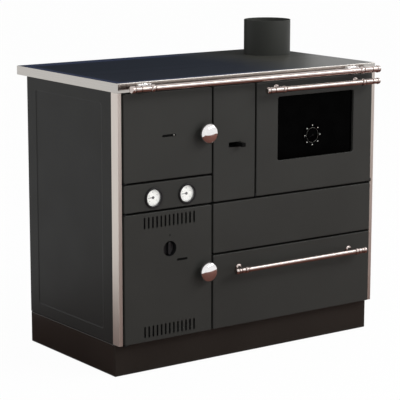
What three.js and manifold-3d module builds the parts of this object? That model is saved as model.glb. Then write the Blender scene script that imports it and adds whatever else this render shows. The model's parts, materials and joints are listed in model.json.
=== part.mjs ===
// Central-heating wood cookstove: a welded body on a set-back plinth, a smooth hob plate in a
// stainless frame, chrome rails, and doors and a drawer that open. Millimetres, +Z up.
// Local frame: x = 0 is the middle, y = 0 is the front of the stainless corners, z = 0 the floor.
import * as THREE from 'three';
import { mergeVertices } from 'three/addons/utils/BufferGeometryUtils.js';
import Module from 'manifold-3d';

const wasm = await Module();
wasm.setup();

// ---- Driving dimensions ----------------------------------------------------------------
const bodyWidth = 950;
const bodyDepth = 500;
const worktopHeight = 850;
const rearStrip = 60; // the worktop reaches this far behind the body
const plinthHeight = 95;
const plinthSetback = 24;
const plinthWall = 2.5;
const plinthFlange = 30;

const seatGap = 0.3; // between pieces that touch
const panelGap = 6; // between two front panels
const sheet = 1.5; // pressed panels
const frontReach = 6; // front panels stand this far in front of the corner profiles
const doorThickness = 20;
const edgeRound = 2;
const cornerRound = 4;

const skirtHeight = 27;
const skirtWall = 2;
const lipWidth = 25;
const ledgeWidth = 10;
const hobThickness = 8;
const hobSeat = 2.5; // between the hob plate and the boiler's rim

const profileFront = 13;
const profileSide = 33;
const panelFlange = 18;
const backFlange = 8;
const embossDepth = 1;
const embossMarginY = 50;
const embossMarginZ = 34;

const frameY = 16; // front face of the inner front frame
const frameThickness = 4;
const frameDrop = 1.5; // the frame ends this far below the plinth's top

// The front is divided in three columns across and in rows upwards, as shares of its whole size.
const leftColumnShare = 323.8 / 950;
const middleColumnShare = 157.3 / 950;
const drawerRowShare = 228.8 / 728;
const ashRowShare = 382.5 / 728;
const gaugeRowShare = 86 / 728;
const sideClearance = 3.5;
const topClearance = 4.5;
const bottomClearance = 2;

const fireWall = 25;
const fireMarginLeft = 31; // from the body's side to the boiler
const fireMarginRight = 46.8; // from the boiler to the first gap line
const fireBackRoom = 10;
const grateDrop = 63.5; // the grate lies this far below the firebox door's gap
const grateThickness = 15;
const grateLedge = 18;
const grateDepth = 30; // from the grate's seat to the boiler's underside
const fireSill = 100; // from the grate's seat to the door opening
const fireHead = 33.5; // from the door opening to the door's top
const fireCheek = 30; // boiler wall left on either side of the door opening
const ashCheek = 8;
const openingMargin = 19.5; // front frame that a door or panel overlaps
const ovenHead = 21.5;
const ovenMarginLeft = 28.9;
const ovenMarginRight = 40;
const ovenBackRoom = 120;
const drawerMarginLeft = 13.2;
const drawerMarginRight = 27;
const drawerHead = 8.8;
const sillRise = 3.2; // lower openings begin this far above the base plate
const cleaningMarginLeft = 25;
const cleaningMarginRight = 35;
const cleaningSill = 23.2;
const linerWall = 3;
const plugClearance = 6;
const plugReach = 6; // a door's plug reaches this far behind the front frame

const hingeInsetX = 4; // pin axis from the door's hinged edge
const hingeInsetY = 3.5; // pin axis behind the door's front face
const pinRadius = 2.5;
const pinClearance = 0.35;
const pinLength = 9;
const lugThickness = 2.5;
const lugWidth = 10;

const knobInset = 24.8; // from the door's free edge
const fireKnobDrop = 4.5; // below the door's middle
const ashKnobDrop = 5.75;
const knobRadius = 29.5;
const knobFoot = 13;
const knobNeck = 7.5;
const knobRise = 18; // from the door to the knob's rim
const knobRim = 3;
const knobDome = 15;
const latchRadius = 5;
const latchReach = 24;
const latchWidth = 9;
const latchThickness = 4;
const latchGap = 0.6;
const latchRoom = 7;

const slotAside = 1.55; // from the door's middle
const slotDrop = 1.5;
const slotLength = 47.5;
const slotHeight = 6;
const ashSlotAside = 46.55;
const ashSlotRise = 40.25;
const ashSlotLength = 37.5;
const ashSlotHeight = 7;
const sliderOverlap = 9;

const ventAside = 2.35;
const ventCount = 13;
const ventPitch = 14.4;
const ventWidth = 6;
const ventHeight = 34;
const ventMarginTop = 28.5; // from the door's edge to the middle of the slots
const ventMarginBottom = 29;
const pinholeRise = 40; // above the regulator
const pinholeRadius = 2.2;

const regulatorAside = 3.35;
const regulatorRise = 76.25;
const bowlRadius = 22;
const bowlDepth = 17;
const rosetteRadius = 60;
const rosetteHoles = 4;
const rosetteInner = 22;
const rosetteOuter = 52;
const shaftRadius = 4;

const gaugeAside = 5.35;
const gaugeSpacing = 116;
const gaugeDrop = 3.5;
const gaugeRadius = 30;
const gaugeGlassRadius = 24.2;
const gaugeDepth = 19;
const needleLength = 18;

const leverAside = 1.95;
const leverDrop = 5.5;
const leverSlotLength = 45.7;
const leverSlotHeight = 15;
const leverWidth = 13.5;
const leverHeight = 12;
const leverReach = 24;
const leverTail = 60;
const leverPlate = 20;

const paneMarginLeft = 79.9;
const paneMarginRight = 74.5;
const paneMarginTop = 46.5;
const paneMarginBottom = 99.5;
const windowBevel = 8;
const windowRecess = 7;
const glassThickness = 4;
const thermoAside = 8.5;
const thermoDrop = 31;
const thermoRadius = 36;
const thermoStem = 3;
const thermoProbe = 60;
const thermoNeedle = 17;

const railY = -40;
const railDrop = 15; // below the worktop
const railRadius = 9;
const railInset = 19; // from the body's side to the rail's end
const railCollarInset = 91;
const handleY = -45;
const handleRadius = 8;
const ovenHandleDrop = 19.5;
const ovenHandleInset = 6.7;
const ovenPostInset = 64; // from the handle's end to a post
const drawerHandleDrop = 47.8;
const drawerHandleAside = 3.35;
const drawerHandleInset = 50.35;
const drawerPostInset = 39;
const bulbRadius = 11.5;
const bulbLength = 26;
const collarRadius = 10.6;
const collarLength = 17;
const railCollarRadius = 11.6;
const railCollarLength = 21;
const bracketHalf = 23;
const bracketReach = 30;

const pipeInsetX = 111; // from the body's side to the flue pipe's axis
const pipeInsetY = 98;
const pipeRadius = 75;
const pipeWall = 2;
const pipeHeight = 111;
const ductWall = 3;
const ductSpare = 10; // room in the duct round the pipe
const socketRadius = 20;
const socketBore = 15;
const socketSpare = 2; // room round a socket in the back panel
const socketReach = 30;
const socketInset = 64; // from the boiler's side
const socketDrop = 69.5; // from the boiler's top to the flow socket
const socketRise = 60; // from the boiler's underside to the return socket

const drawerBackRoom = 70;
const drawerTopRoom = 15.6;
const drawerRim = 5;
const drawerClearance = 8; // box to the sides of its opening
const runnerFoot = 12;
const runnerHeight = 60;
const runnerLedge = 16;
const runnerRise = 6; // from the base plate's top to the ledge

const ashPanHeight = 74;
const ashPanBackRoom = 110;
const ashPanSlope = 12;
const ashGripHalf = 45;
const ashGripHeight = 58;
const ashGripThickness = 4;
const rackRise = 1.5; // above the oven's middle
const rackPitch = 75; // between the oven's pairs of ribs
const rackFront = 30;
const rackBack = 20;
const rackBars = 11;
const rackRod = 3;
const rackWire = 2;
const ribFront = 20;
const ribHeight = 5;
const ribWidth = 8;

// ---- Derived places --------------------------------------------------------------------
const halfWidth = bodyWidth / 2;
const worktopDepth = bodyDepth + rearStrip;
const doorFront = -frontReach;
const doorBack = doorFront + doorThickness;
const fixedBack = frameY - seatGap;
const doorSkin = doorFront + sheet;
const bodyBottom = plinthHeight + 1;
const skirtBottom = worktopHeight - skirtHeight;
const lipBottom = worktopHeight - skirtWall;
const frameBack = frameY + frameThickness;
const innerY = frameBack + seatGap;
const plugBack = frameBack + plugReach;
const baseTop = plinthHeight + seatGap + linerWall;
const hobBottom = worktopHeight - hobThickness;
const boilerTop = hobBottom - hobSeat;

// Gap lines between the front panels, by their middles, and the panels between them.
const frontHeight = skirtBottom - plinthHeight;
const gapLeftX = -halfWidth + leftColumnShare * bodyWidth;
const gapRightX = gapLeftX + middleColumnShare * bodyWidth;
const gapDrawerZ = plinthHeight + drawerRowShare * frontHeight;
const gapMiddleZ = plinthHeight + ashRowShare * frontHeight;
const gapFireZ = gapMiddleZ + gaugeRowShare * frontHeight;
const halfGap = panelGap / 2;
const panelsRight = halfWidth - profileFront - sideClearance;
const panelsBottom = plinthHeight + bottomClearance;
const panelsTop = skirtBottom - topClearance;
const fireDoor = { x0: -panelsRight, x1: gapLeftX - halfGap, z0: gapFireZ + halfGap, z1: panelsTop };
const controls = { ...fireDoor, z0: gapMiddleZ + halfGap, z1: gapFireZ - halfGap };
const ashDoor = { ...fireDoor, z0: panelsBottom, z1: gapMiddleZ - halfGap };
const narrowPanel = { x0: gapLeftX + halfGap, x1: gapRightX - halfGap, z0: controls.z0, z1: panelsTop };
const ovenDoor = { x0: gapRightX + halfGap, x1: panelsRight, z0: controls.z0, z1: panelsTop };
const cleaningPanel = { x0: narrowPanel.x0, x1: panelsRight, z0: gapDrawerZ + halfGap, z1: ashDoor.z1 };
const drawerFront = { ...cleaningPanel, z0: panelsBottom, z1: gapDrawerZ - halfGap };
const middleX = (face) => (face.x0 + face.x1) / 2;
const middleZ = (face) => (face.z0 + face.z1) / 2;

const fireLeft = -halfWidth + fireMarginLeft;
const fireRight = gapLeftX - fireMarginRight;
const fireBack = bodyDepth - fireBackRoom;
const grateZ = gapFireZ - grateDrop;
const fireFloor = grateZ - grateDepth;
const sillZ = baseTop + sillRise;
const fireOpening = {
  x0: fireLeft + fireCheek, x1: fireRight - fireCheek, z0: grateZ + fireSill, z1: fireDoor.z1 - fireHead,
};
const ashOpening = {
  x0: fireLeft + ashCheek, x1: fireRight - ashCheek, z0: sillZ, z1: ashDoor.z1 - openingMargin,
};
const ovenOpening = {
  x0: gapRightX + ovenMarginLeft, x1: halfWidth - ovenMarginRight,
  z0: ovenDoor.z0 + openingMargin, z1: ovenDoor.z1 - ovenHead,
};
const drawerOpening = {
  x0: gapLeftX + drawerMarginLeft, x1: halfWidth - drawerMarginRight,
  z0: sillZ, z1: drawerFront.z1 - drawerHead,
};
const cleaningOpening = {
  x0: ovenOpening.x0 + cleaningMarginLeft, x1: ovenOpening.x1 - cleaningMarginRight,
  z0: cleaningPanel.z0 + cleaningSill, z1: cleaningPanel.z1 - openingMargin,
};
const ovenDepth = bodyDepth - ovenBackRoom;

const hingeX = fireDoor.x0 + hingeInsetX;
const hingeY = doorFront + hingeInsetY;
const ovenHingeZ = ovenDoor.z0 + hingeInsetX;
const knobX = fireDoor.x1 - knobInset;
const fireKnobZ = middleZ(fireDoor) - fireKnobDrop;
const ashKnobZ = middleZ(ashDoor) - ashKnobDrop;
const slotX = middleX(fireDoor) + slotAside;
const slotZ = middleZ(fireDoor) - slotDrop;
const ashSlotX = middleX(ashDoor) + ashSlotAside;
const ashSlotZ = middleZ(ashDoor) + ashSlotRise;
const ventX = middleX(ashDoor) + ventAside;
const ventUpperZ = ashDoor.z1 - ventMarginTop;
const ventLowerZ = ashDoor.z0 + ventMarginBottom;
const regulatorX = middleX(ashDoor) + regulatorAside;
const regulatorZ = middleZ(ashDoor) + regulatorRise;
const pinholeZ = regulatorZ + pinholeRise;
const gaugeX = middleX(controls) + gaugeAside;
const gaugeZ = middleZ(controls) - gaugeDrop;
const leverX = middleX(narrowPanel) + leverAside;
const leverZ = middleZ(narrowPanel) - leverDrop;
const pane = {
  x0: ovenDoor.x0 + paneMarginLeft, x1: ovenDoor.x1 - paneMarginRight,
  z0: ovenDoor.z0 + paneMarginBottom, z1: ovenDoor.z1 - paneMarginTop,
};
const thermoX = middleX(pane) - thermoAside;
const thermoZ = middleZ(pane) - thermoDrop;

const railZ = worktopHeight - railDrop;
const railHalf = halfWidth - railInset;
const railCollar = halfWidth - railCollarInset;
const ovenHandleZ = ovenDoor.z1 - ovenHandleDrop;
const ovenHandleHalf = (ovenDoor.x1 - ovenDoor.x0) / 2 - ovenHandleInset;
const ovenHandleCollar = ovenHandleHalf - ovenPostInset;
const drawerHandleX = middleX(drawerFront) + drawerHandleAside;
const drawerHandleZ = drawerFront.z1 - drawerHandleDrop;
const drawerHandleHalf = (drawerFront.x1 - drawerFront.x0) / 2 - drawerHandleInset;
const drawerHandleCollar = drawerHandleHalf - drawerPostInset;

const pipeX = halfWidth - pipeInsetX;
const pipeY = bodyDepth - pipeInsetY;
const pipeTop = worktopHeight + pipeHeight;
const socketX = fireLeft + socketInset;
const socketFlowZ = boilerTop - socketDrop;
const socketReturnZ = fireFloor + socketRise;

const drawerDepth = bodyDepth - drawerBackRoom;
const drawerFloor = baseTop + runnerRise + sheet + 2 * seatGap;
const drawerHeight = drawerOpening.z1 - drawerTopRoom - drawerFloor;
const ashPanDepth = bodyDepth - ashPanBackRoom;
const rackZ = middleZ(ovenOpening) + rackRise;

// ---- Solid helpers ---------------------------------------------------------------------
const planes = {
  xy: [new THREE.Vector3(1, 0, 0), new THREE.Vector3(0, 1, 0), new THREE.Vector3(0, 0, 1)],
  xz: [new THREE.Vector3(1, 0, 0), new THREE.Vector3(0, 0, 1), new THREE.Vector3(0, -1, 0)],
  yz: [new THREE.Vector3(0, 1, 0), new THREE.Vector3(0, 0, 1), new THREE.Vector3(1, 0, 0)],
};

function solid(geometry) {
  const plain = geometry.clone();
  plain.deleteAttribute('normal');
  plain.deleteAttribute('uv');
  const merged = mergeVertices(plain, 1e-4);
  return new wasm.Manifold(new wasm.Mesh({
    numProp: 3,
    vertProperties: new Float32Array(merged.attributes.position.array),
    triVerts: new Uint32Array(merged.index.array),
  }));
}

function geometryOf(manifold) {
  const mesh = manifold.getMesh();
  const geometry = new THREE.BufferGeometry();
  geometry.setAttribute('position', new THREE.BufferAttribute(Float32Array.from(mesh.vertProperties), 3));
  geometry.setIndex(new THREE.BufferAttribute(Uint32Array.from(mesh.triVerts), 1));
  geometry.computeVertexNormals();
  return geometry;
}

function join(...solids) {
  return solids.reduce((whole, next) => whole.add(next));
}

function cut(whole, ...tools) {
  return tools.reduce((rest, tool) => rest.subtract(tool), whole);
}

// A rectangle in any plane, with rounded corners when a radius is given.
function rectangle(u0, u1, v0, v1, radius = 0) {
  const shape = new THREE.Shape();
  if (radius <= 0) {
    shape.moveTo(u0, v0);
    shape.lineTo(u1, v0);
    shape.lineTo(u1, v1);
    shape.lineTo(u0, v1);
    return shape;
  }
  shape.moveTo(u0 + radius, v0);
  shape.lineTo(u1 - radius, v0);
  shape.absarc(u1 - radius, v0 + radius, radius, -Math.PI / 2, 0, false);
  shape.lineTo(u1, v1 - radius);
  shape.absarc(u1 - radius, v1 - radius, radius, 0, Math.PI / 2, false);
  shape.lineTo(u0 + radius, v1);
  shape.absarc(u0 + radius, v1 - radius, radius, Math.PI / 2, Math.PI, false);
  shape.lineTo(u0, v0 + radius);
  shape.absarc(u0 + radius, v0 + radius, radius, Math.PI, Math.PI * 1.5, false);
  return shape;
}

// A face's outline with rounded corners, drawn in by a margin.
function inset(face, margin) {
  return rectangle(face.x0 + margin, face.x1 - margin, face.z0 + margin, face.z1 - margin, cornerRound);
}

// Extrudes a shape drawn in one of the planes from one place to another along the third axis.
function prism(shape, plane, from, to, options = {}) {
  const { edge = 0, edgeSteps = 2, curve = 3 } = options;
  const length = to - from;
  const geometry = new THREE.ExtrudeGeometry(shape, {
    depth: length - 2 * edge,
    bevelEnabled: edge > 0,
    bevelThickness: edge,
    bevelSize: edge,
    bevelOffset: -edge,
    bevelSegments: edgeSteps,
    curveSegments: curve,
  });
  geometry.translate(0, 0, edge);
  geometry.applyMatrix4(new THREE.Matrix4().makeBasis(...planes[plane]));
  if (plane === 'xy') geometry.translate(0, 0, from);
  if (plane === 'xz') geometry.translate(0, to, 0);
  if (plane === 'yz') geometry.translate(from, 0, 0);
  return solid(geometry);
}

function block(x0, x1, y0, y1, z0, z1) {
  const geometry = new THREE.BoxGeometry(x1 - x0, y1 - y0, z1 - z0);
  geometry.translate((x0 + x1) / 2, (y0 + y1) / 2, (z0 + z1) / 2);
  return solid(geometry);
}

// A round bar along one axis between two places; centre gives the other two coordinates.
function bar(axis, centre, radius, from, to, sides = 16) {
  const geometry = new THREE.CylinderGeometry(radius, radius, to - from, sides);
  const middle = (from + to) / 2;
  if (axis === 'x') {
    geometry.rotateZ(-Math.PI / 2);
    geometry.translate(middle, centre[0], centre[1]);
  }
  if (axis === 'y') geometry.translate(centre[0], middle, centre[1]);
  if (axis === 'z') {
    geometry.rotateX(Math.PI / 2);
    geometry.translate(centre[0], centre[1], middle);
  }
  return solid(geometry);
}

// Revolves a profile of [radius, place along the axis] points about an axis.
function turned(axis, centre, profile, sides) {
  const points = profile.map(([radius, along]) => new THREE.Vector2(radius, along));
  const geometry = new THREE.LatheGeometry(points, sides);
  if (axis === 'x') {
    geometry.rotateZ(-Math.PI / 2);
    geometry.translate(0, centre[0], centre[1]);
  }
  if (axis === 'y') geometry.translate(centre[0], 0, centre[1]);
  if (axis === 'z') {
    geometry.rotateX(Math.PI / 2);
    geometry.translate(centre[0], centre[1], 0);
  }
  const whole = solid(geometry);
  return whole.volume() < 0 ? solid(flipped(geometry)) : whole;
}

function flipped(geometry) {
  const index = geometry.index.array;
  for (let i = 0; i < index.length; i += 3) [index[i], index[i + 1]] = [index[i + 1], index[i]];
  return geometry;
}

function ring(outer, inner, plane, from, to, options = {}) {
  const reach = 1;
  return cut(prism(outer, plane, from, to, options), prism(inner, plane, from - reach, to + reach));
}

// A pressed front panel: a sheet with rounded front edges and flanges folded back all round.
function pressedPanel(face, back) {
  const outer = prism(inset(face, 0), 'xz', doorFront, back + edgeRound, { edge: edgeRound, curve: 2 });
  const end = back + 2 * edgeRound;
  const hollow = block(face.x0 + sheet, face.x1 - sheet, doorSkin, end, face.z0 + sheet, face.z1 - sheet);
  const spare = block(face.x0 - 1, face.x1 + 1, back, end, face.z0 - 1, face.z1 + 1);
  return cut(outer, hollow, spare);
}

// A slot by its middle, width and height, with round ends unless a corner radius is given.
function slot(x, z, width, height, y0, y1, radius = 0.49 * Math.min(width, height)) {
  const outline = rectangle(x - width / 2, x + width / 2, z - height / 2, z + height / 2, radius);
  return prism(outline, 'xz', y0, y1, { curve: 1 });
}

// ---- Materials -------------------------------------------------------------------------
function surface(colour, roughness, metalness) {
  return new THREE.MeshStandardMaterial({ color: colour, roughness, metalness });
}

const paint = () => surface(0x3c3c3a, 0.45, 0.1);
const sidePaint = () => surface(0x353534, 0.5, 0.1);
const plinthPaint = () => surface(0x22201f, 0.3, 0.1);
const stainless = () => surface(0xc4c2bd, 0.3, 1);
const chromed = () => surface(0xd8d8da, 0.12, 1);
const blackSteel = () => surface(0x1c1c1d, 0.6, 0.4);
const castIron = () => surface(0x2a2a2b, 0.75, 0.6);
const galvanised = () => surface(0x8f9396, 0.45, 0.9);
const enamel = () => surface(0x24262b, 0.25, 0.1);
const darkGlass = () => surface(0x050506, 0.05, 0);
const clearGlass = () => surface(0xe8eef0, 0.05, 0);
const dialWhite = () => surface(0xf2f1ec, 0.5, 0);
const blackPlastic = () => surface(0x242326, 0.5, 0);
const zincSteel = () => surface(0x9b9c9c, 0.4, 0.9);

const stove = new THREE.Group();

// Adds one named mesh whose own origin is at the middle of its solid.
function place(name, manifold, material) {
  const geometry = geometryOf(manifold);
  geometry.computeBoundingBox();
  const centre = geometry.boundingBox.getCenter(new THREE.Vector3());
  geometry.translate(-centre.x, -centre.y, -centre.z);
  const mesh = new THREE.Mesh(geometry, material);
  mesh.name = name;
  mesh.position.copy(centre);
  stove.add(mesh);
}

// ---- Body ------------------------------------------------------------------------------
function plinth() {
  const half = halfWidth - seatGap;
  const back = bodyDepth - seatGap;
  const outline = rectangle(-half, half, plinthSetback, back, cornerRound);
  const inner = (margin) => rectangle(-half + margin, half - margin, plinthSetback + margin, back - margin);
  const wall = ring(outline, inner(plinthWall), 'xy', 0, plinthHeight);
  const foot = ring(outline, inner(plinthFlange), 'xy', 0, plinthWall);
  const head = ring(outline, inner(plinthFlange), 'xy', plinthHeight - plinthWall, plinthHeight);
  return join(wall, foot, head);
}

function basePlate() {
  const half = halfWidth - 2 * sheet;
  const back = bodyDepth - 2 * sheet;
  return block(-half, half, innerY, back, plinthHeight + seatGap, baseTop);
}

// One side: an outer skin with a shallow pressed field and flanges folded inwards.
function sidePanel(side) {
  const outer = halfWidth - seatGap;
  const y0 = profileSide + seatGap;
  const y1 = bodyDepth - seatGap;
  const z1 = skirtBottom - seatGap;
  const skin = prism(rectangle(y0, y1, bodyBottom, z1), 'yz', outer - sheet, outer);
  const flangeBottom = baseTop + seatGap;
  const flanges = ring(
    rectangle(y0, y1, flangeBottom, z1),
    rectangle(y0 + sheet, y1 - sheet, flangeBottom + sheet, z1 - sheet),
    'yz', outer - panelFlange, outer - sheet / 2,
  );
  const field = rectangle(
    y0 + embossMarginY, y1 - embossMarginY, bodyBottom + embossMarginZ, z1 - embossMarginZ, cornerRound,
  );
  const lowered = prism(field, 'yz', outer - embossDepth, outer + 1);
  const backed = prism(field, 'yz', outer - embossDepth - sheet, outer - sheet / 2);
  const panel = cut(join(skin, flanges, backed), lowered);
  return side < 0 ? panel.mirror([1, 0, 0]) : panel;
}

function backPanel() {
  const half = halfWidth - seatGap - panelFlange - seatGap;
  const back = bodyDepth - seatGap;
  const z0 = baseTop + seatGap;
  const z1 = skirtBottom - seatGap;
  const outer = block(-half, half, back - backFlange, back, z0, z1);
  const hollow = block(
    -half + sheet, half - sheet, back - backFlange - 1, back - sheet, z0 + sheet, z1 - sheet,
  );
  const holes = [socketFlowZ, socketReturnZ].map((z) => (
    bar('y', [socketX, z], socketRadius + socketSpare, back - backFlange, back + 1, 20)
  ));
  return cut(outer, hollow, ...holes);
}

// A folded stainless corner: a side leg, a narrow front leg and a return to the front frame.
function cornerProfile(side) {
  const x = halfWidth;
  const inner = x - profileFront;
  const outline = new THREE.Shape();
  outline.moveTo(x, profileSide);
  outline.lineTo(x, edgeRound);
  outline.absarc(x - edgeRound, edgeRound, edgeRound, 0, -Math.PI / 2, true);
  outline.lineTo(inner, 0);
  outline.lineTo(inner, fixedBack);
  outline.lineTo(inner + sheet, fixedBack);
  outline.lineTo(inner + sheet, sheet);
  outline.lineTo(x - sheet, sheet);
  outline.lineTo(x - sheet, profileSide);
  const profile = prism(outline, 'xy', bodyBottom, skirtBottom - seatGap);
  return side < 0 ? profile.mirror([1, 0, 0]) : profile;
}

// Stainless frame round the hob plate: a folded skirt, a flat lip and a ledge under the plate.
function topFrame() {
  const outline = (margin) => rectangle(
    -halfWidth + margin, halfWidth - margin, margin, worktopDepth - margin,
  );
  const outer = prism(
    rectangle(-halfWidth, halfWidth, 0, worktopDepth, cornerRound), 'xy', skirtBottom, worktopHeight,
    { edge: sheet },
  );
  const hollow = prism(outline(skirtWall), 'xy', skirtBottom - 1, lipBottom);
  const opening = (spread) => rectangle(
    -halfWidth + lipWidth - spread, halfWidth - lipWidth + spread, lipWidth - spread, bodyDepth + spread,
  );
  const ledgeTop = hobBottom - seatGap;
  const ledgeBottom = ledgeTop - skirtWall;
  const drop = ring(opening(skirtWall), opening(0), 'xy', ledgeBottom, worktopHeight - sheet);
  const ledge = ring(opening(skirtWall), opening(-ledgeWidth), 'xy', ledgeBottom, ledgeTop);
  const through = prism(opening(0), 'xy', ledgeTop, worktopHeight + 1);
  return join(cut(outer, hollow, through), drop, ledge);
}

function hobPlate() {
  const spare = sheet / 3;
  const half = halfWidth - lipWidth - spare;
  const outline = rectangle(-half, half, lipWidth + spare, bodyDepth - spare);
  const plate = prism(outline, 'xy', hobBottom, worktopHeight, { edge: spare, edgeSteps: 1 });
  const hole = bar('z', [pipeX, pipeY], pipeRadius + 2 * seatGap, hobBottom - 1, worktopHeight + 1, 48);
  return cut(plate, hole);
}

function fluePipe() {
  const foot = boilerTop + seatGap;
  return turned('z', [pipeX, pipeY], [
    [pipeRadius - pipeWall, foot],
    [pipeRadius, foot],
    [pipeRadius, pipeTop],
    [pipeRadius - pipeWall, pipeTop],
    [pipeRadius - pipeWall, foot],
  ], 48);
}

// Flat duct from the firebox to the flue pipe, over the oven, with the spigot the pipe stands on.
function smokeDuct() {
  const x0 = fireRight + seatGap;
  const x1 = pipeX + pipeRadius + ductSpare;
  const y0 = pipeY - pipeRadius - ductSpare;
  const y1 = pipeY + pipeRadius + ductSpare;
  const z0 = ovenOpening.z1 + linerWall + seatGap;
  const spigotOuter = pipeRadius - pipeWall - seatGap;
  const outer = block(x0, x1, y0, y1, z0, boilerTop);
  const spigot = bar('z', [pipeX, pipeY], spigotOuter, boilerTop - 1, boilerTop + 3 * ductSpare, 40);
  const hollow = block(
    x0 - 1, x1 - ductWall, y0 + ductWall, y1 - ductWall, z0 + ductWall, boilerTop - ductWall,
  );
  const bore = bar('z', [pipeX, pipeY], spigotOuter - pipeWall, z0 + ductWall, boilerTop + 4 * ductSpare, 40);
  return cut(join(outer, spigot), hollow, bore);
}

// The welded inner front: a plate with an opening behind each door, and the lugs and pins that
// the two left-hand doors turn on.
function frontFrame() {
  const half = halfWidth - profileFront - sheet / 2;
  const bottom = plinthHeight - frameDrop;
  const plate = block(-half, half, frameY, frameBack, bottom, lipBottom - seatGap);
  const openings = [fireOpening, ashOpening, ovenOpening, drawerOpening, cleaningOpening].map((o) => (
    block(o.x0, o.x1, frameY - 1, frameBack + 1, o.z0, o.z1)
  ));
  const latchHoles = [fireKnobZ, ashKnobZ].map((z) => block(
    knobX - latchWidth / 2 - latchRoom, knobX + latchWidth / 2 + latchRoom, frameY - 1, frameBack + 1,
    z - latchReach - 3, z + latchWidth,
  ));
  const leverSlot = block(
    leverX - leverSlotLength / 2, leverX + leverSlotLength / 2, frameY - 1, frameBack + 1,
    leverZ - leverHeight / 2 - seatGap, leverZ + leverHeight / 2 + seatGap,
  );
  const lug = (z0, pinFrom, pinTo) => {
    const arm = block(
      hingeX - lugWidth / 2, hingeX + lugWidth / 2, hingeY - lugWidth / 4, frameY + 1, z0, z0 + lugThickness,
    );
    return join(arm, bar('z', [hingeX, hingeY], pinRadius, pinFrom, pinTo, 12));
  };
  const above = (door) => lug(door.z1 + 1, door.z1 - pinLength, door.z1 + 1 + lugThickness / 2);
  const below = (door) => {
    const z0 = door.z0 - 1 - lugThickness;
    return lug(z0, z0 + lugThickness / 2, door.z0 + pinLength);
  };
  return join(cut(plate, ...openings, ...latchHoles, leverSlot),
    above(fireDoor), below(fireDoor), above(ashDoor), below(ashDoor));
}

// ---- Firebox and ash chamber -----------------------------------------------------------
// Water-jacketed firebox: thick walls, a front opening, a ledge for the grate, an outlet to the
// duct and two pipe sockets at the back.
function fireboxBoiler() {
  const x0 = fireLeft;
  const x1 = fireRight;
  const shell = block(x0, x1, innerY, fireBack, fireFloor, boilerTop);
  const cavity = block(
    x0 + fireWall, x1 - fireWall, innerY + fireWall, fireBack - fireWall, grateZ, boilerTop + 1,
  );
  const throat = block(
    x0 + fireWall + grateLedge, x1 - fireWall - grateLedge,
    innerY + fireWall + grateLedge, fireBack - fireWall - grateLedge, fireFloor - 1, grateZ + 1,
  );
  const mouth = block(
    fireOpening.x0, fireOpening.x1, innerY - 1, innerY + fireWall + 1, fireOpening.z0, fireOpening.z1,
  );
  const outletHalf = pipeRadius - ductWall;
  const outlet = block(
    x1 - fireWall - 1, x1 + 1, pipeY - outletHalf, fireBack - fireWall,
    ovenOpening.z1 + 2 * linerWall, boilerTop - ductWall,
  );
  const sockets = [socketFlowZ, socketReturnZ].map((z) => (
    bar('y', [socketX, z], socketRadius, fireBack - fireWall / 2, fireBack + socketReach + ductSpare, 24)
  ));
  const bores = [socketFlowZ, socketReturnZ].map((z) => (
    bar('y', [socketX, z], socketBore, fireBack - fireWall / 2, fireBack + socketReach + 2 * ductSpare, 20)
  ));
  return cut(join(cut(shell, cavity, throat, mouth, outlet), ...sockets), ...bores);
}

function fireGrate() {
  const x0 = fireLeft + fireWall + 2;
  const x1 = fireRight - fireWall - 2;
  const y0 = innerY + fireWall + 2;
  const y1 = fireBack - fireWall - 2;
  const plate = block(x0, x1, y0, y1, grateZ + seatGap, grateZ + grateThickness);
  const slots = [];
  const rows = 12;
  const margin = 22;
  const pitch = (y1 - y0 - 2 * margin) / rows;
  for (let row = 0; row < rows; row += 1) {
    const y = y0 + margin + (row + 0.5) * pitch;
    for (const [from, to] of [[x0 + margin, (x0 + x1) / 2 - 6], [(x0 + x1) / 2 + 6, x1 - margin]]) {
      slots.push(block(from, to, y - pitch / 4, y + pitch / 4, grateZ - 1, grateZ + grateThickness + 1));
    }
  }
  return cut(plate, ...slots);
}

function ashChamber() {
  const x0 = fireLeft;
  const x1 = fireRight;
  const shell = block(x0, x1, innerY, fireBack, baseTop + seatGap, fireFloor - seatGap);
  const hollow = block(
    x0 + linerWall, x1 - linerWall, innerY - 1, fireBack - linerWall,
    baseTop + seatGap + linerWall, fireFloor + 1,
  );
  return cut(shell, hollow);
}

// Open ash tray with sloping ends folded to a rim, and a grip across its front.
function ashPan() {
  const floor = baseTop + 2 * seatGap + linerWall;
  const x0 = ashOpening.x0 + plugClearance;
  const x1 = ashOpening.x1 - plugClearance;
  const y0 = plugBack + 2 * plugClearance;
  const tray = (spread, lift) => {
    const side = new THREE.Shape();
    side.moveTo(y0 + ashPanSlope + spread, floor + lift);
    side.lineTo(y0 + ashPanDepth - ashPanSlope - spread, floor + lift);
    side.lineTo(y0 + ashPanDepth - spread, floor + ashPanHeight + lift);
    side.lineTo(y0 + spread, floor + ashPanHeight + lift);
    return prism(side, 'yz', x0 + spread, x1 - spread);
  };
  const middle = middleX(ashOpening);
  const gripZ = floor + ashGripHeight;
  const grip = block(
    middle - ashGripHalf, middle + ashGripHalf, y0 - plugClearance / 2, y0 + 2,
    gripZ, gripZ + ashGripThickness,
  );
  return cut(join(tray(0, 0), grip), tray(sheet, sheet));
}

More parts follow.
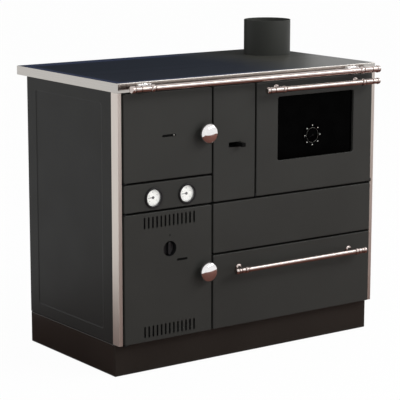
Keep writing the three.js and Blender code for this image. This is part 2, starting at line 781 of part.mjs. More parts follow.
// ---- Oven ------------------------------------------------------------------------------
function ovenLiner() {
  const o = ovenOpening;
  const y1 = innerY + ovenDepth;
  const shell = block(o.x0 - linerWall, o.x1 + linerWall, innerY, y1, o.z0 - linerWall, o.z1 + linerWall);
  const hollow = block(o.x0, o.x1, innerY - 1, y1 - linerWall, o.z0, o.z1);
  const ribs = [];
  for (const z of [rackZ - rackPitch, rackZ, rackZ + rackPitch]) {
    ribs.push(block(o.x0 - 1, o.x0 + ribWidth, innerY + ribFront, y1 - 1, z - ribHeight, z));
    ribs.push(block(o.x1 - ribWidth, o.x1 + 1, innerY + ribFront, y1 - 1, z - ribHeight, z));
  }
  return join(cut(shell, hollow), ...ribs);
}

function ovenRack() {
  const o = ovenOpening;
  const x0 = o.x0 + rackRod + 2;
  const x1 = o.x1 - rackRod - 2;
  const y0 = innerY + rackFront;
  const y1 = innerY + ovenDepth - rackBack;
  const z = rackZ + rackRod + seatGap;
  const rods = [
    bar('y', [x0, z], rackRod, y0 - rackRod, y1 + rackRod, 8),
    bar('y', [x1, z], rackRod, y0 - rackRod, y1 + rackRod, 8),
    bar('x', [y0, z], rackRod, x0, x1, 8),
    bar('x', [y1, z], rackRod, x0, x1, 8),
  ];
  for (let i = 1; i <= rackBars; i += 1) {
    const x = x0 + (i * (x1 - x0)) / (rackBars + 1);
    rods.push(bar('y', [x, z], rackWire, y0, y1, 5));
  }
  return join(...rods);
}

// ---- Doors -----------------------------------------------------------------------------
// Inner cover of a door: a sheet that fills the pan, with a plug that enters the opening.
function doorInner(face, opening, y) {
  const m = sheet + seatGap;
  const cover = block(face.x0 + m, face.x1 - m, y, y + linerWall, face.z0 + m, face.z1 - m);
  const plug = prism(inset(opening, plugClearance), 'xz', y + linerWall / 2, plugBack, {
    edge: sheet, edgeSteps: 1,
  });
  return join(cover, plug);
}

// The hollow that makes a door's plug a pressed dish, open towards the door's pan.
function dishHollow(opening, y) {
  return prism(inset(opening, plugClearance + linerWall), 'xz', y - 1, plugBack - linerWall);
}

function latchHole(z) {
  return bar('y', [knobX, z], latchRadius + seatGap, doorFront - 1, plugBack + 1, 16);
}

function hingeHoles(door) {
  const reach = pinLength + seatGap;
  return [
    bar('z', [hingeX, hingeY], pinRadius + pinClearance, door.z0 - 1, door.z0 + reach, 12),
    bar('z', [hingeX, hingeY], pinRadius + pinClearance, door.z1 - reach, door.z1 + 1, 12),
  ];
}

function fireboxDoor() {
  return cut(
    pressedPanel(fireDoor, doorBack),
    latchHole(fireKnobZ),
    slot(slotX, slotZ, slotLength, slotHeight, doorFront - 1, doorBack),
    ...hingeHoles(fireDoor),
  );
}

function fireboxDoorLiner() {
  const y = doorBack - 2 * linerWall;
  const inner = doorInner(fireDoor, fireOpening, y);
  const ribs = [];
  const ribCount = 3;
  for (let i = 0; i < ribCount; i += 1) {
    const z = fireOpening.z0 + ((i + 1) * (fireOpening.z1 - fireOpening.z0)) / (ribCount + 1);
    ribs.push(block(
      fireOpening.x0 + 5 * plugClearance, fireOpening.x1 - 5 * plugClearance,
      plugBack - 1, plugBack + linerWall, z - plugClearance / 2, z + plugClearance / 2,
    ));
  }
  return cut(join(inner, ...ribs), latchHole(fireKnobZ));
}

// Rope seal between the firebox door's cover and the front frame.
function fireboxDoorSeal() {
  const spread = 2;
  const outer = inset(fireOpening, -spread - 2 * plugClearance);
  const front = doorBack - linerWall + seatGap;
  return ring(outer, inset(fireOpening, -spread), 'xz', front, frameY - seatGap, { edge: 1.2 });
}

// Plate behind a door slot, with a small head in the slot that slides it.
function airSlider(x, z, length, height, headX, head) {
  const front = doorSkin + seatGap;
  const plate = block(
    x - length / 2 - sliderOverlap, x + length / 2 + sliderOverlap, front, front + sheet,
    z - height / 2 - sliderOverlap / 2, z + height / 2 + sliderOverlap / 2,
  );
  return join(plate, head(headX, z, front + sheet / 2));
}

function fireAirSlider() {
  const headRadius = slotHeight / 2 - 2 * seatGap;
  return airSlider(slotX, slotZ, slotLength, slotHeight, slotX + slotLength / 3, (x, z, back) => (
    bar('y', [x, z], headRadius, doorFront - 3, back, 12)
  ));
}

function ashAirSlider() {
  const half = ashSlotHeight / 2 - 2 * seatGap;
  const headX = ashSlotX + ashSlotLength / 3;
  return airSlider(ashSlotX, ashSlotZ, ashSlotLength, ashSlotHeight, headX, (x, z, back) => (
    block(x - half, x + half, doorFront + 0.5, back, z - half, z + half)
  ));
}

// Domed knob on a waisted neck; its profile is measured forwards from the door.
function knob(z) {
  const foot = -doorFront + seatGap;
  const rim = foot + knobRise;
  const profile = [
    [0, foot], [knobFoot, foot], [knobFoot, foot + 2], [knobNeck + 0.5, foot + 6], [knobNeck, rim - 6],
    [knobNeck + 2.5, rim - 3], [knobRadius - 3.5, rim - 2], [knobRadius, rim],
  ];
  const steps = 5;
  for (let i = 0; i <= steps; i += 1) {
    const angle = (i / steps) * (Math.PI / 2);
    profile.push([knobRadius * Math.cos(angle), rim + knobRim + knobDome * Math.sin(angle)]);
  }
  profile[profile.length - 1][0] = 0;
  return turned('y', [knobX, z], profile.map(([radius, along]) => [radius, -along]), 22);
}

// Shaft through the door with a cam that turns behind the front frame.
function latch(z) {
  const y0 = frameBack + latchGap;
  const shaft = bar('y', [knobX, z], latchRadius, doorFront, y0 + latchThickness, 14);
  const outline = rectangle(
    knobX - latchWidth / 2, knobX + latchWidth / 2, z - latchReach, z + latchWidth * 0.7, latchWidth / 3,
  );
  return join(shaft, prism(outline, 'xz', y0, y0 + latchThickness));
}

// Ash door: pressed pan with two rows of air slots, a small hole, a slot and a round bowl.
function ashDoorPanel() {
  const vents = [];
  for (const z of [ventUpperZ, ventLowerZ]) {
    for (let i = 0; i < ventCount; i += 1) {
      const x = ventX + (i - (ventCount - 1) / 2) * ventPitch;
      vents.push(slot(x, z, ventWidth, ventHeight, doorFront - 1, doorSkin + 1));
    }
  }
  const floor = doorFront + bowlDepth;
  const centre = [regulatorX, regulatorZ];
  const bowl = bar('y', centre, bowlRadius + sheet, doorSkin - sheet / 2, floor, 28);
  return cut(
    join(pressedPanel(ashDoor, doorBack), bowl),
    bar('y', centre, bowlRadius, doorFront - 1, floor - sheet, 28),
    bar('y', centre, shaftRadius + seatGap, doorFront, floor + 1, 12),
    bar('y', [regulatorX, pinholeZ], pinholeRadius, doorFront - 1, doorSkin + 1, 10),
    slot(ashSlotX, ashSlotZ, ashSlotLength, ashSlotHeight, doorFront - 1, doorSkin + 1),
    latchHole(ashKnobZ),
    ...vents,
    ...hingeHoles(ashDoor),
  );
}

// Sector openings round the regulator's axis, turned by a start angle.
function sectors(start, y0, y1) {
  return Array.from({ length: rosetteHoles }, (_, i) => {
    const from = start + (i * 2 * Math.PI) / rosetteHoles;
    const to = from + Math.PI / rosetteHoles - 0.12;
    const shape = new THREE.Shape();
    shape.absarc(0, 0, rosetteOuter, from, to, false);
    shape.absarc(0, 0, rosetteInner, to, from, true);
    return prism(shape, 'xz', y0, y1, { curve: 4 }).translate([regulatorX, 0, regulatorZ]);
  });
}

function ashDoorLiner() {
  const y = doorFront + bowlDepth + seatGap;
  return cut(
    doorInner(ashDoor, ashOpening, y),
    dishHollow(ashOpening, y),
    ...sectors(0, y - 1, plugBack + 1),
    bar('y', [regulatorX, regulatorZ], shaftRadius + seatGap, y - 1, plugBack + 1, 12),
    latchHole(ashKnobZ),
  );
}

// Round knob with a straight grip, sunk in the ash door's bowl.
function regulatorKnob() {
  const floor = doorFront + bowlDepth - sheet - seatGap;
  const centre = [regulatorX, regulatorZ];
  const disc = turned('y', centre, [
    [0, floor], [bowlRadius - 2, floor], [bowlRadius - 2, floor - 5],
    [bowlRadius - 4, floor - 6.5], [0, floor - 6.5],
  ], 24);
  const half = bowlRadius - 4;
  const grip = prism(
    rectangle(regulatorX - 4, regulatorX + 4, regulatorZ - half, regulatorZ + half, 3), 'xz',
    floor - 13, floor - 5, { edge: 1.2, edgeSteps: 1 },
  );
  const shaft = bar('y', centre, shaftRadius, floor - 1, plugBack + seatGap, 12);
  return join(disc, grip, shaft);
}

function regulatorRosette() {
  const y0 = plugBack + 2 * seatGap;
  const disc = bar('y', [regulatorX, regulatorZ], rosetteRadius, y0, y0 + 2, 32);
  return cut(disc, ...sectors(Math.PI / rosetteHoles, y0 - 1, y0 + 3));
}

// Oven door: pan with a bevelled window recess.
function ovenDoorPanel() {
  const back = doorFront + windowRecess + sheet;
  const backing = block(
    pane.x0 - cornerRound, pane.x1 + cornerRound, doorSkin - sheet / 2, back,
    pane.z0 - cornerRound, pane.z1 + cornerRound,
  );
  const inner = inset(pane, windowBevel);
  const bevelled = new THREE.ExtrudeGeometry(inner, {
    depth: 2,
    bevelEnabled: true,
    bevelThickness: windowRecess,
    bevelSize: windowBevel,
    bevelSegments: 1,
    curveSegments: 3,
  });
  bevelled.applyMatrix4(new THREE.Matrix4().makeBasis(...planes.xz));
  bevelled.translate(0, doorFront, 0);
  const through = prism(inner, 'xz', doorFront, back + 1);
  const reach = pinLength + seatGap;
  const pins = [
    bar('x', [hingeY, ovenHingeZ], pinRadius + pinClearance, ovenDoor.x0 - 1, ovenDoor.x0 + reach, 12),
    bar('x', [hingeY, ovenHingeZ], pinRadius + pinClearance, ovenDoor.x1 - reach, ovenDoor.x1 + 1, 12),
  ];
  return cut(join(pressedPanel(ovenDoor, doorBack), backing), solid(bevelled), through, ...pins);
}

function ovenGlass() {
  const y = doorFront + windowRecess + sheet + seatGap;
  const lap = 2;
  return cut(
    block(pane.x0 - lap, pane.x1 + lap, y, y + glassThickness, pane.z0 - lap, pane.z1 + lap),
    bar('y', [thermoX, thermoZ], thermoStem + seatGap, y - 1, y + glassThickness + 1, 12),
  );
}

// Inner frame of the oven door, which holds the glass from behind.
function ovenDoorFrame() {
  const y = doorFront + windowRecess + sheet + glassThickness + 2 * seatGap;
  const surround = prism(inset(pane, -linerWall), 'xz', y, plugBack);
  const dish = cut(dishHollow(ovenOpening, y), surround);
  const light = prism(inset(pane, windowBevel), 'xz', y - 1, plugBack + 1);
  return cut(doorInner(ovenDoor, ovenOpening, y), dish, light);
}

function ovenThermometer() {
  const glassFront = doorFront + windowRecess + sheet + seatGap;
  return turned('y', [thermoX, thermoZ], [
    [0, glassFront + thermoProbe], [thermoStem, glassFront + thermoProbe], [thermoStem, glassFront - seatGap],
    [thermoRadius, glassFront - seatGap], [thermoRadius, glassFront - 1.5],
    [thermoRadius - 1, glassFront - 2.2],
    [thermoRadius - 2, glassFront - 1.6], [0, glassFront - 1.6],
  ], 32);
}

// A pointer lying in front of a dial, turned to an angle in degrees from +X towards +Z.
function pointer(x, z, back, length, width, hubRadius, degrees) {
  const hub = bar('y', [0, 0], hubRadius, back - 1.6, back, 14);
  const shape = new THREE.Shape();
  shape.moveTo(-length * 0.25, -width);
  shape.lineTo(length, -width / 4);
  shape.lineTo(length, width / 4);
  shape.lineTo(-length * 0.25, width);
  const blade = prism(shape, 'xz', back - 1.2, back - 0.5);
  return join(hub, blade).rotate([0, -degrees, 0]).translate([x, 0, z]);
}

function ovenNeedle() {
  const back = doorFront + windowRecess + sheet - 1.6;
  return pointer(thermoX, thermoZ, back, thermoNeedle, 0.9, thermoStem, 205);
}

// A rail turned about the X axis, with ringed collars where it is carried and bulbs at its ends.
function turnedRail(y, z, middle, half, collar, radius, rings) {
  const end = half - bulbLength;
  const side = [
    [radius, collar - rings.length / 2 - 1], [rings.radius, collar - rings.length / 2],
    [rings.radius, collar + rings.length / 2], [radius, collar + rings.length / 2 + 1],
    [radius, end], [radius + 1.6, end + 1], [radius + 1.6, end + 4], [radius, end + 5.5],
    [bulbRadius, end + 16], [bulbRadius, half - 3], [bulbRadius - 3, half], [0, half],
  ];
  const mirrored = side.map(([r, a]) => [r, -a]).reverse();
  const profile = [...mirrored, ...side].map(([r, a]) => [r, a + middle]);
  return turned('x', [y, z], profile, 14);
}

// Chrome bar handle with turned ends, carried by two posts with round feet.
function barHandle(middle, z, half, collar) {
  const rings = { radius: collarRadius, length: collarLength };
  const tube = turnedRail(handleY, z, middle, half, collar, handleRadius, rings);
  const foot = doorFront - seatGap;
  const posts = [-collar, collar].map((offset) => turned('y', [middle + offset, z], [
    [0, foot], [11, foot], [11, foot - 2], [6, foot - 7], [6, handleY], [0, handleY],
  ], 12));
  return join(tube, ...posts);
}

function railBracket(x) {
  const outline = rectangle(x - bracketHalf, x + bracketHalf, railZ - railRadius, railZ + railRadius, 3);
  const plate = prism(outline, 'xz', -3 - seatGap, -seatGap, { edge: 0.8, edgeSteps: 1 });
  const post = turned('y', [x, railZ], [
    [0, -1], [11, -1], [11, -4], [7, -14], [8, railY], [0, railY],
  ], 12);
  const screws = [-17, 17].map((offset) => bar('y', [x + offset, railZ + 3], 3, -5, -1, 8));
  const seat = bar(
    'x', [railY, railZ], railCollarRadius + 2 * seatGap, x - bracketReach, x + bracketReach, 14,
  );
  return cut(join(plate, post, ...screws), seat);
}

// ---- Gauges ----------------------------------------------------------------------------
function gaugeCase(x) {
  const r = gaugeGlassRadius + seatGap;
  const front = doorFront - seatGap;
  return turned('y', [x, gaugeZ], [
    [0, front + gaugeDepth], [r + 1.2, front + gaugeDepth], [r + 1.2, front], [gaugeRadius, front],
    [gaugeRadius, front - 2.5], [gaugeRadius - 1.5, front - 4], [r, front - 4],
    [r, front + 5], [r - 3, front + 5], [r - 3, front + gaugeDepth - 2], [0, front + gaugeDepth - 2],
  ], 26);
}

const gaugeDialBack = doorFront + 5 - 2 * seatGap;

function gaugeDial(x) {
  return bar('y', [x, gaugeZ], gaugeGlassRadius, gaugeDialBack - 1, gaugeDialBack, 28);
}

function gaugeGlass(x) {
  const y = doorFront - 2.5;
  return bar('y', [x, gaugeZ], gaugeGlassRadius, y, y + sheet, 28);
}

function gaugeNeedle(x) {
  return pointer(x, gaugeZ, gaugeDialBack - 1 - seatGap, needleLength, 0.8, 2.6, 180);
}

function controlPanel() {
  const holes = [-1, 1].map((side) => bar(
    'y', [gaugeX + (side * gaugeSpacing) / 2, gaugeZ], gaugeGlassRadius + 2, doorFront - 1, doorSkin + 1, 28,
  ));
  return cut(pressedPanel(controls, fixedBack), ...holes);
}

// ---- Fixed front panels, damper lever and drawer -----------------------------------------
function narrowCover() {
  return cut(
    pressedPanel(narrowPanel, fixedBack),
    slot(leverX, leverZ, leverSlotLength, leverSlotHeight, doorFront - 1, doorSkin + 1, edgeRound),
  );
}

// Flat lever in its slot, at the right-hand end of its travel, with a tail into the body.
function damperLever() {
  const x1 = leverX + leverSlotLength / 2 - 1;
  const x0 = x1 - leverWidth;
  const half = leverHeight / 2;
  const grip = prism(
    rectangle(x0, x1, leverZ - half, leverZ + half, 2), 'xz',
    doorFront - leverReach, frameBack + leverTail, { edge: 1 },
  );
  const z0 = leverZ - half + 2;
  const plate = block(x0 - leverPlate, x1, frameBack + 8, frameBack + leverTail - 8, z0, z0 + linerWall);
  return join(grip, plate);
}

function drawerBox() {
  const x0 = drawerOpening.x0 + drawerClearance;
  const x1 = drawerOpening.x1 - drawerClearance;
  const y0 = doorSkin + seatGap;
  const y1 = y0 + drawerDepth;
  const z1 = drawerFloor + drawerHeight;
  const outer = block(x0, x1, y0, y1, drawerFloor, z1);
  const hollow = block(x0 + sheet, x1 - sheet, y0 + sheet, y1 - sheet, drawerFloor + sheet, z1 + 1);
  const mouth = rectangle(x0 + drawerRim, x1 - drawerRim, y0 + drawerRim, y1 - drawerRim);
  const rim = ring(rectangle(x0, x1, y0, y1), mouth, 'xy', z1 - sheet, z1);
  return join(cut(outer, hollow), rim);
}

// Folded runner: a foot on the base plate, a guide wall and a ledge that the box slides on.
function drawerRunner(side) {
  const edge = side < 0 ? drawerOpening.x0 + drawerClearance : drawerOpening.x1 - drawerClearance;
  const outline = new THREE.Shape();
  const z0 = baseTop + seatGap;
  const wall = seatGap + sheet;
  const out = (distance) => edge + side * distance;
  const ledge = z0 + runnerRise;
  outline.moveTo(out(wall + runnerFoot), z0);
  outline.lineTo(out(wall - sheet), z0);
  outline.lineTo(out(wall - sheet), ledge);
  outline.lineTo(out(-runnerLedge), ledge);
  outline.lineTo(out(-runnerLedge), ledge + sheet);
  outline.lineTo(out(seatGap), ledge + sheet);
  outline.lineTo(out(seatGap), z0 + runnerHeight);
  outline.lineTo(out(wall), z0 + runnerHeight);
  outline.lineTo(out(wall), z0 + sheet);
  outline.lineTo(out(wall + runnerFoot), z0 + sheet);
  return prism(outline, 'xz', innerY, doorSkin + drawerDepth);
}

// Fixed lug with the pin that one end of the oven door turns on.
function ovenHinge(side) {
  const edge = side < 0 ? ovenDoor.x0 : ovenDoor.x1;
  const near = edge + side * 0.5;
  const far = near + side * lugThickness;
  const plate = block(
    Math.min(near, far), Math.max(near, far), hingeY - lugWidth / 4, fixedBack,
    ovenHingeZ - lugWidth / 2, ovenHingeZ + lugWidth / 2,
  );
  const tip = edge - side * pinLength;
  const root = near + side * (lugThickness / 2);
  return join(plate, bar('x', [hingeY, ovenHingeZ], pinRadius, Math.min(tip, root), Math.max(tip, root), 12));
}

// ---- Assembly --------------------------------------------------------------------------
place('plinth', plinth(), plinthPaint());
place('base_plate', basePlate(), blackSteel());
place('side_panel_left', sidePanel(-1), sidePaint());
place('side_panel_right', sidePanel(1), sidePaint());
place('back_panel', backPanel(), blackSteel());
place('corner_profile_left', cornerProfile(-1), stainless());
place('corner_profile_right', cornerProfile(1), stainless());
place('top_frame', topFrame(), stainless());
place('hob_plate', hobPlate(), enamel());
place('flue_pipe', fluePipe(), paint());
place('smoke_duct', smokeDuct(), blackSteel());
place('front_frame', frontFrame(), blackSteel());
place('firebox_boiler', fireboxBoiler(), castIron());
place('fire_grate', fireGrate(), castIron());
place('ash_chamber', ashChamber(), blackSteel());
place('ash_pan', ashPan(), galvanised());
place('oven_liner', ovenLiner(), enamel());
place('oven_rack', ovenRack(), chromed());
place('guard_rail', turnedRail(railY, railZ, 0, railHalf, railCollar, railRadius, {
  radius: railCollarRadius, length: railCollarLength,
}), chromed());
place('rail_bracket_left', railBracket(-railCollar), chromed());
place('rail_bracket_right', railBracket(railCollar), chromed());

place('control_panel', controlPanel(), paint());
for (const [label, side] of [['left', -1], ['right', 1]]) {
  const x = gaugeX + (side * gaugeSpacing) / 2;
  place(`gauge_case_${label}`, gaugeCase(x), blackPlastic());
  place(`gauge_dial_${label}`, gaugeDial(x), dialWhite());
  place(`gauge_glass_${label}`, gaugeGlass(x), clearGlass());
  place(`gauge_needle_${label}`, gaugeNeedle(x), blackPlastic());
}

place('firebox_door', fireboxDoor(), paint());
place('firebox_door_liner', fireboxDoorLiner(), castIron());
place('firebox_door_seal', fireboxDoorSeal(), blackPlastic());
place('firebox_air_slider', fireAirSlider(), blackSteel());
place('firebox_knob', knob(fireKnobZ), chromed());
place('firebox_latch', latch(fireKnobZ), zincSteel());

place('ash_door', ashDoorPanel(), paint());
place('ash_door_liner', ashDoorLiner(), blackSteel());
place('ash_air_slider', ashAirSlider(), blackSteel());
place('ash_knob', knob(ashKnobZ), chromed());
place('ash_latch', latch(ashKnobZ), zincSteel());
place('regulator_knob', regulatorKnob(), blackPlastic());
place('regulator_rosette', regulatorRosette(), zincSteel());

place('narrow_panel', narrowCover(), paint());
place('damper_lever', damperLever(), blackSteel());
place('cleaning_panel', pressedPanel(cleaningPanel, fixedBack), paint());

place('oven_door', ovenDoorPanel(), paint());
place('oven_door_frame', ovenDoorFrame(), blackSteel());
place('oven_glass', ovenGlass(), darkGlass());
place('oven_thermometer', ovenThermometer(), blackPlastic());
place('oven_needle', ovenNeedle(), zincSteel());
place('oven_handle', barHandle(middleX(ovenDoor), ovenHandleZ, ovenHandleHalf, ovenHandleCollar), chromed());
place('oven_hinge_left', ovenHinge(-1), zincSteel());
place('oven_hinge_right', ovenHinge(1), zincSteel());

place('drawer_front', pressedPanel(drawerFront, doorBack), paint());
place('drawer_box', drawerBox(), galvanised());
place('drawer_handle',
  barHandle(drawerHandleX, drawerHandleZ, drawerHandleHalf, drawerHandleCollar), chromed());
place('drawer_runner_left', drawerRunner(-1), zincSteel());
place('drawer_runner_right', drawerRunner(1), zincSteel());

// The origin goes to the bottom centre of everything: from the handles' front to the worktop's back.
const foremost = handleY - bulbRadius;
stove.position.set(0, -(foremost + worktopDepth) / 2, 0);

export default stove;
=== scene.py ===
# Wood-burning cookstove in anthracite paint, stainless trim and chrome rails, on a pale studio floor.
import json
import math

import bmesh
import bpy
from mathutils import Matrix, Vector


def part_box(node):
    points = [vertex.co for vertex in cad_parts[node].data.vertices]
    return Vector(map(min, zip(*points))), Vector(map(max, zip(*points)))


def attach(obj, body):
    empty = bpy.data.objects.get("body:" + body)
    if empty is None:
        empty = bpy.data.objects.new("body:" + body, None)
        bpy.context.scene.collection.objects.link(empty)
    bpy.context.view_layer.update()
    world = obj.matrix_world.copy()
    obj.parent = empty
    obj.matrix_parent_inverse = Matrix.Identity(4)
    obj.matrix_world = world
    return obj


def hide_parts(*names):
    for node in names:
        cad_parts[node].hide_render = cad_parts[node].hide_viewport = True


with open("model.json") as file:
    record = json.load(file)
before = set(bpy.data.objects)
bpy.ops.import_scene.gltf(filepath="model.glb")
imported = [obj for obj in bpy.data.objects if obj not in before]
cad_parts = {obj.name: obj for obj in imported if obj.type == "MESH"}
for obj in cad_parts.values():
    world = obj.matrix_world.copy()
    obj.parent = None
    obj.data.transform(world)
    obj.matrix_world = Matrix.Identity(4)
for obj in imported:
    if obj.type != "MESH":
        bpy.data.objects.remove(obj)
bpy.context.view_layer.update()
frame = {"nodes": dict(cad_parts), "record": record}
nodes = frame["nodes"]
mm = 0.001
print("frame loaded:", len(nodes), "nodes")

# camera, as the photograph was taken: from the left, a little above the worktop
cameraSettings = {
    "place": (-2.9769, -4.1155, 1.4108),
    "tilt": 79.0702,      # degrees up from straight down
    "roll": 0.08,
    "turn": -35.7794,
    "lens": 150.4059,
    "sensor": 36,         # mm wide
    "sight": 200,         # metres, past the floor's far edge
}


def addCamera(settings):
    data = bpy.data.cameras.new("photoCamera")
    camera = bpy.data.objects.new("photoCamera", data)
    bpy.context.scene.collection.objects.link(camera)
    camera.location = settings["place"]
    turn, tilt, roll = (Matrix.Rotation(math.radians(settings[way]), 4, axis)
                        for way, axis in (("turn", "Z"), ("tilt", "X"), ("roll", "Z")))
    camera.rotation_euler = (turn @ tilt @ roll).to_euler()
    data.sensor_width = settings["sensor"]
    data.lens = settings["lens"]
    data.clip_end = settings["sight"]
    bpy.context.scene.camera = camera


addCamera(cameraSettings)
print("camera placed")


# small helpers
def linear(hexColour):
    # sRGB hex to the linear colour that the shaders work in
    parts = [int(hexColour[i:i + 2], 16) / 255 for i in (1, 3, 5)]
    return [c / 12.92 if c <= 0.04045 else ((c + 0.055) / 1.055) ** 2.4 for c in parts] + [1]


def addNode(tree, kind, settings=None, links=None):
    # adds one shader node; links gives input name -> output socket of an earlier node
    node = tree.nodes.new(kind)
    for name, value in (settings or {}).items():
        if name in node.inputs:
            node.inputs[name].default_value = value
        else:
            setattr(node, name, value)
    for name, socket in (links or {}).items():
        tree.links.new(socket, node.inputs[name])
    return node


def take(settings, words):
    # several named values of a dictionary at once
    return [settings[word] for word in words.split()]


def takeMm(settings, words):
    return [settings[word] * mm for word in words.split()]


def startMaterial(name):
    material = bpy.data.materials.new(name)
    material.use_nodes = True
    tree = material.node_tree
    tree.nodes.clear()
    output = tree.nodes.new("ShaderNodeOutputMaterial")
    shader = tree.nodes.new("ShaderNodeBsdfPrincipled")
    tree.links.new(shader.outputs["BSDF"], output.inputs["Surface"])
    place = tree.nodes.new("ShaderNodeTexCoord").outputs["Object"]
    return material, tree, shader, place


def boxOf(node):
    low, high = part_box(node)
    return Vector(low), Vector(high)


def middleOf(node):
    low, high = boxOf(node)
    return (low + high) / 2


def deselectAll():
    if bpy.context.object and bpy.context.object.mode != "OBJECT":
        bpy.ops.object.mode_set(mode="OBJECT")
    bpy.ops.object.select_all(action="DESELECT")


def choose(*pieces):
    deselectAll()
    for piece in pieces:
        piece.select_set(True)
    bpy.context.view_layer.objects.active = pieces[0]


def applyPlace():
    bpy.ops.object.transform_apply(location=True, rotation=True, scale=True)


def startBox(name, low, high):
    # a cube added at its size and place, ready to be shaped
    deselectAll()
    middle = [(a + b) / 2 for a, b in zip(low, high)]
    size = [b - a for a, b in zip(low, high)]
    bpy.ops.mesh.primitive_cube_add(size=1, location=middle, scale=size)
    piece = bpy.context.object
    piece.name = name
    applyPlace()
    return piece


def pick(piece, kind, test):
    # edit mode with the faces, edges or points that pass the test selected
    choose(piece)
    bpy.ops.object.mode_set(mode="EDIT")
    bpy.ops.mesh.select_mode(type=kind)
    bpy.ops.mesh.select_all(action="DESELECT")
    mesh = bmesh.from_edit_mesh(piece.data)
    for item in {"FACE": mesh.faces, "EDGE": mesh.edges, "VERT": mesh.verts}[kind]:
        if test(item):
            item.select_set(True)
    bmesh.update_edit_mesh(piece.data)


def leaveEdit():
    bpy.ops.object.mode_set(mode="OBJECT")


def near(value, other, room=0.02 * mm):
    return abs(value - other) < room


def facing(axis, sign):
    return lambda face: face.normal[axis] * sign > 0.9


def along(axis):
    return lambda edge: abs((edge.verts[0].co - edge.verts[1].co).normalized()[axis]) > 0.999


def atDepth(y):
    return lambda edge: all(near(v.co.y, y) for v in edge.verts)


def folded(edge, least):
    # an edge between two faces that meet at more than the least angle, in radians
    return len(edge.link_faces) == 2 and edge.calc_face_angle(0) > least


def roundEdges(piece, test, radius, segments=4):
    pick(piece, "EDGE", test)
    bpy.ops.mesh.bevel(offset=radius, segments=segments, affect="EDGES", clamp_overlap=False)
    leaveEdit()


def removeFaces(piece, test):
    pick(piece, "FACE", test)
    bpy.ops.mesh.delete(type="FACE")
    leaveEdit()


def extrudeBy(offset):
    bpy.ops.mesh.extrude_region_move(TRANSFORM_OT_translate={"value": offset})


def movePoints(piece, test, offset):
    pick(piece, "VERT", test)
    bpy.ops.transform.translate(value=offset)
    leaveEdit()


def insetFace(piece, test, border):
    pick(piece, "FACE", test)
    bpy.ops.mesh.inset(thickness=border)
    leaveEdit()


def useModifier(piece, kind, settings):
    choose(piece)
    modifier = piece.modifiers.new(kind.lower(), kind)
    for name, value in settings.items():
        setattr(modifier, name, value)
    bpy.ops.object.modifier_apply(modifier=modifier.name)


def thicken(piece, wall):
    useModifier(piece, "SOLIDIFY", {"thickness": wall, "offset": -1, "use_even_offset": True})


def joinPieces(piece, *others):
    if others:
        choose(piece, *others)
        bpy.ops.object.join()
    return piece


def cutWith(piece, cutters):
    if not cutters:
        return
    tool = joinPieces(*cutters)
    useModifier(piece, "BOOLEAN", {"operation": "DIFFERENCE", "solver": "EXACT", "object": tool})
    choose(tool)
    bpy.ops.object.delete()


def smooth(piece, angle=32):
    # rounded edges shade smoothly while the broad faces stay flat
    choose(piece)
    bpy.ops.object.shade_smooth_by_angle(angle=math.radians(angle))
    useModifier(piece, "WEIGHTED_NORMAL", {"keep_sharp": True})


def lathe(name, origin, axis, profile, steps, angle=38):
    # turns a profile of (radius, along) in mm about an axis through the origin
    axis = Vector(axis)
    radial = Vector((0, 0, 1)) if abs(axis.z) < 0.5 else Vector((1, 0, 0))
    points = [Vector(origin) + radial * (r * mm) + axis * (a * mm) for r, a in profile]
    deselectAll()
    bpy.ops.mesh.primitive_plane_add(size=1 * mm, location=points[0])
    piece = bpy.context.object
    piece.name = name
    bpy.ops.object.mode_set(mode="EDIT")
    bpy.ops.mesh.select_mode(type="VERT")
    bpy.ops.mesh.select_all(action="SELECT")
    bpy.ops.mesh.merge(type="CENTER")
    for before, after in zip(points, points[1:]):
        extrudeBy(after - before)
    bpy.ops.mesh.select_all(action="SELECT")
    bpy.ops.mesh.spin(steps=steps, angle=2 * math.pi, center=origin, axis=axis)
    bpy.ops.mesh.select_all(action="SELECT")
    bpy.ops.mesh.remove_doubles(threshold=0.01 * mm)
    bpy.ops.mesh.normals_make_consistent(inside=False)
    leaveEdit()
    applyPlace()
    bpy.ops.object.shade_smooth_by_angle(angle=math.radians(angle))
    return piece


def curve(radius, alongPlace, bendR, bendA, start, end, steps=6):
    # part of an ellipse in a profile, round the given middle, from one angle to another
    angles = [math.radians(start + (end - start) * i / steps) for i in range(steps + 1)]
    return [(radius + bendR * math.cos(a), alongPlace + bendA * math.sin(a)) for a in angles]


def headProfile(radius, foot, edge, dome, steps=6):
    # a round head: flat underneath, upright from its foot to its edge, domed above
    return [(0, foot), (radius, foot)] + curve(0, edge, radius, dome, 0, 90, steps)


def finish(piece, material, body, slot, *replaced):
    piece.data.materials.clear()
    piece.data.materials.append(material)
    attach(piece, body)
    if replaced:
        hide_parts(*replaced)


# materials; the sizes of their patterns are in mm
def shaded(colour, share):
    return [c * share for c in colour[:3]] + [1]


def wireUp(tree, shader, tintFrom, tones, glossFrom, glossRange, reliefFrom, relief):
    # colour, roughness and relief from the patterns; a tone is its place on the ramp and its colour,
    # and the relief is its strength and its depth in mm
    tint = addNode(tree, "ShaderNodeValToRGB", {}, {"Fac": tintFrom})
    for stop, (place, colour) in zip(tint.color_ramp.elements, tones):
        stop.position = place
        stop.color = colour
    gloss = addNode(tree, "ShaderNodeMapRange", {"To Min": glossRange[0], "To Max": glossRange[1]},
                    {"Value": glossFrom})
    tree.links.new(tint.outputs["Color"], shader.inputs["Base Color"])
    tree.links.new(gloss.outputs["Result"], shader.inputs["Roughness"])
    if relief[1]:
        bump = addNode(tree, "ShaderNodeBump", {"Strength": relief[0], "Distance": relief[1] * mm},
                       {"Height": reliefFrom})
        tree.links.new(bump.outputs["Normal"], shader.inputs["Normal"])


paintFilm = {"cloud": 250, "cloudTint": 0.07, "smudge": 111.11, "shinier": 0.05, "duller": 0.06, "peel": 0.3}


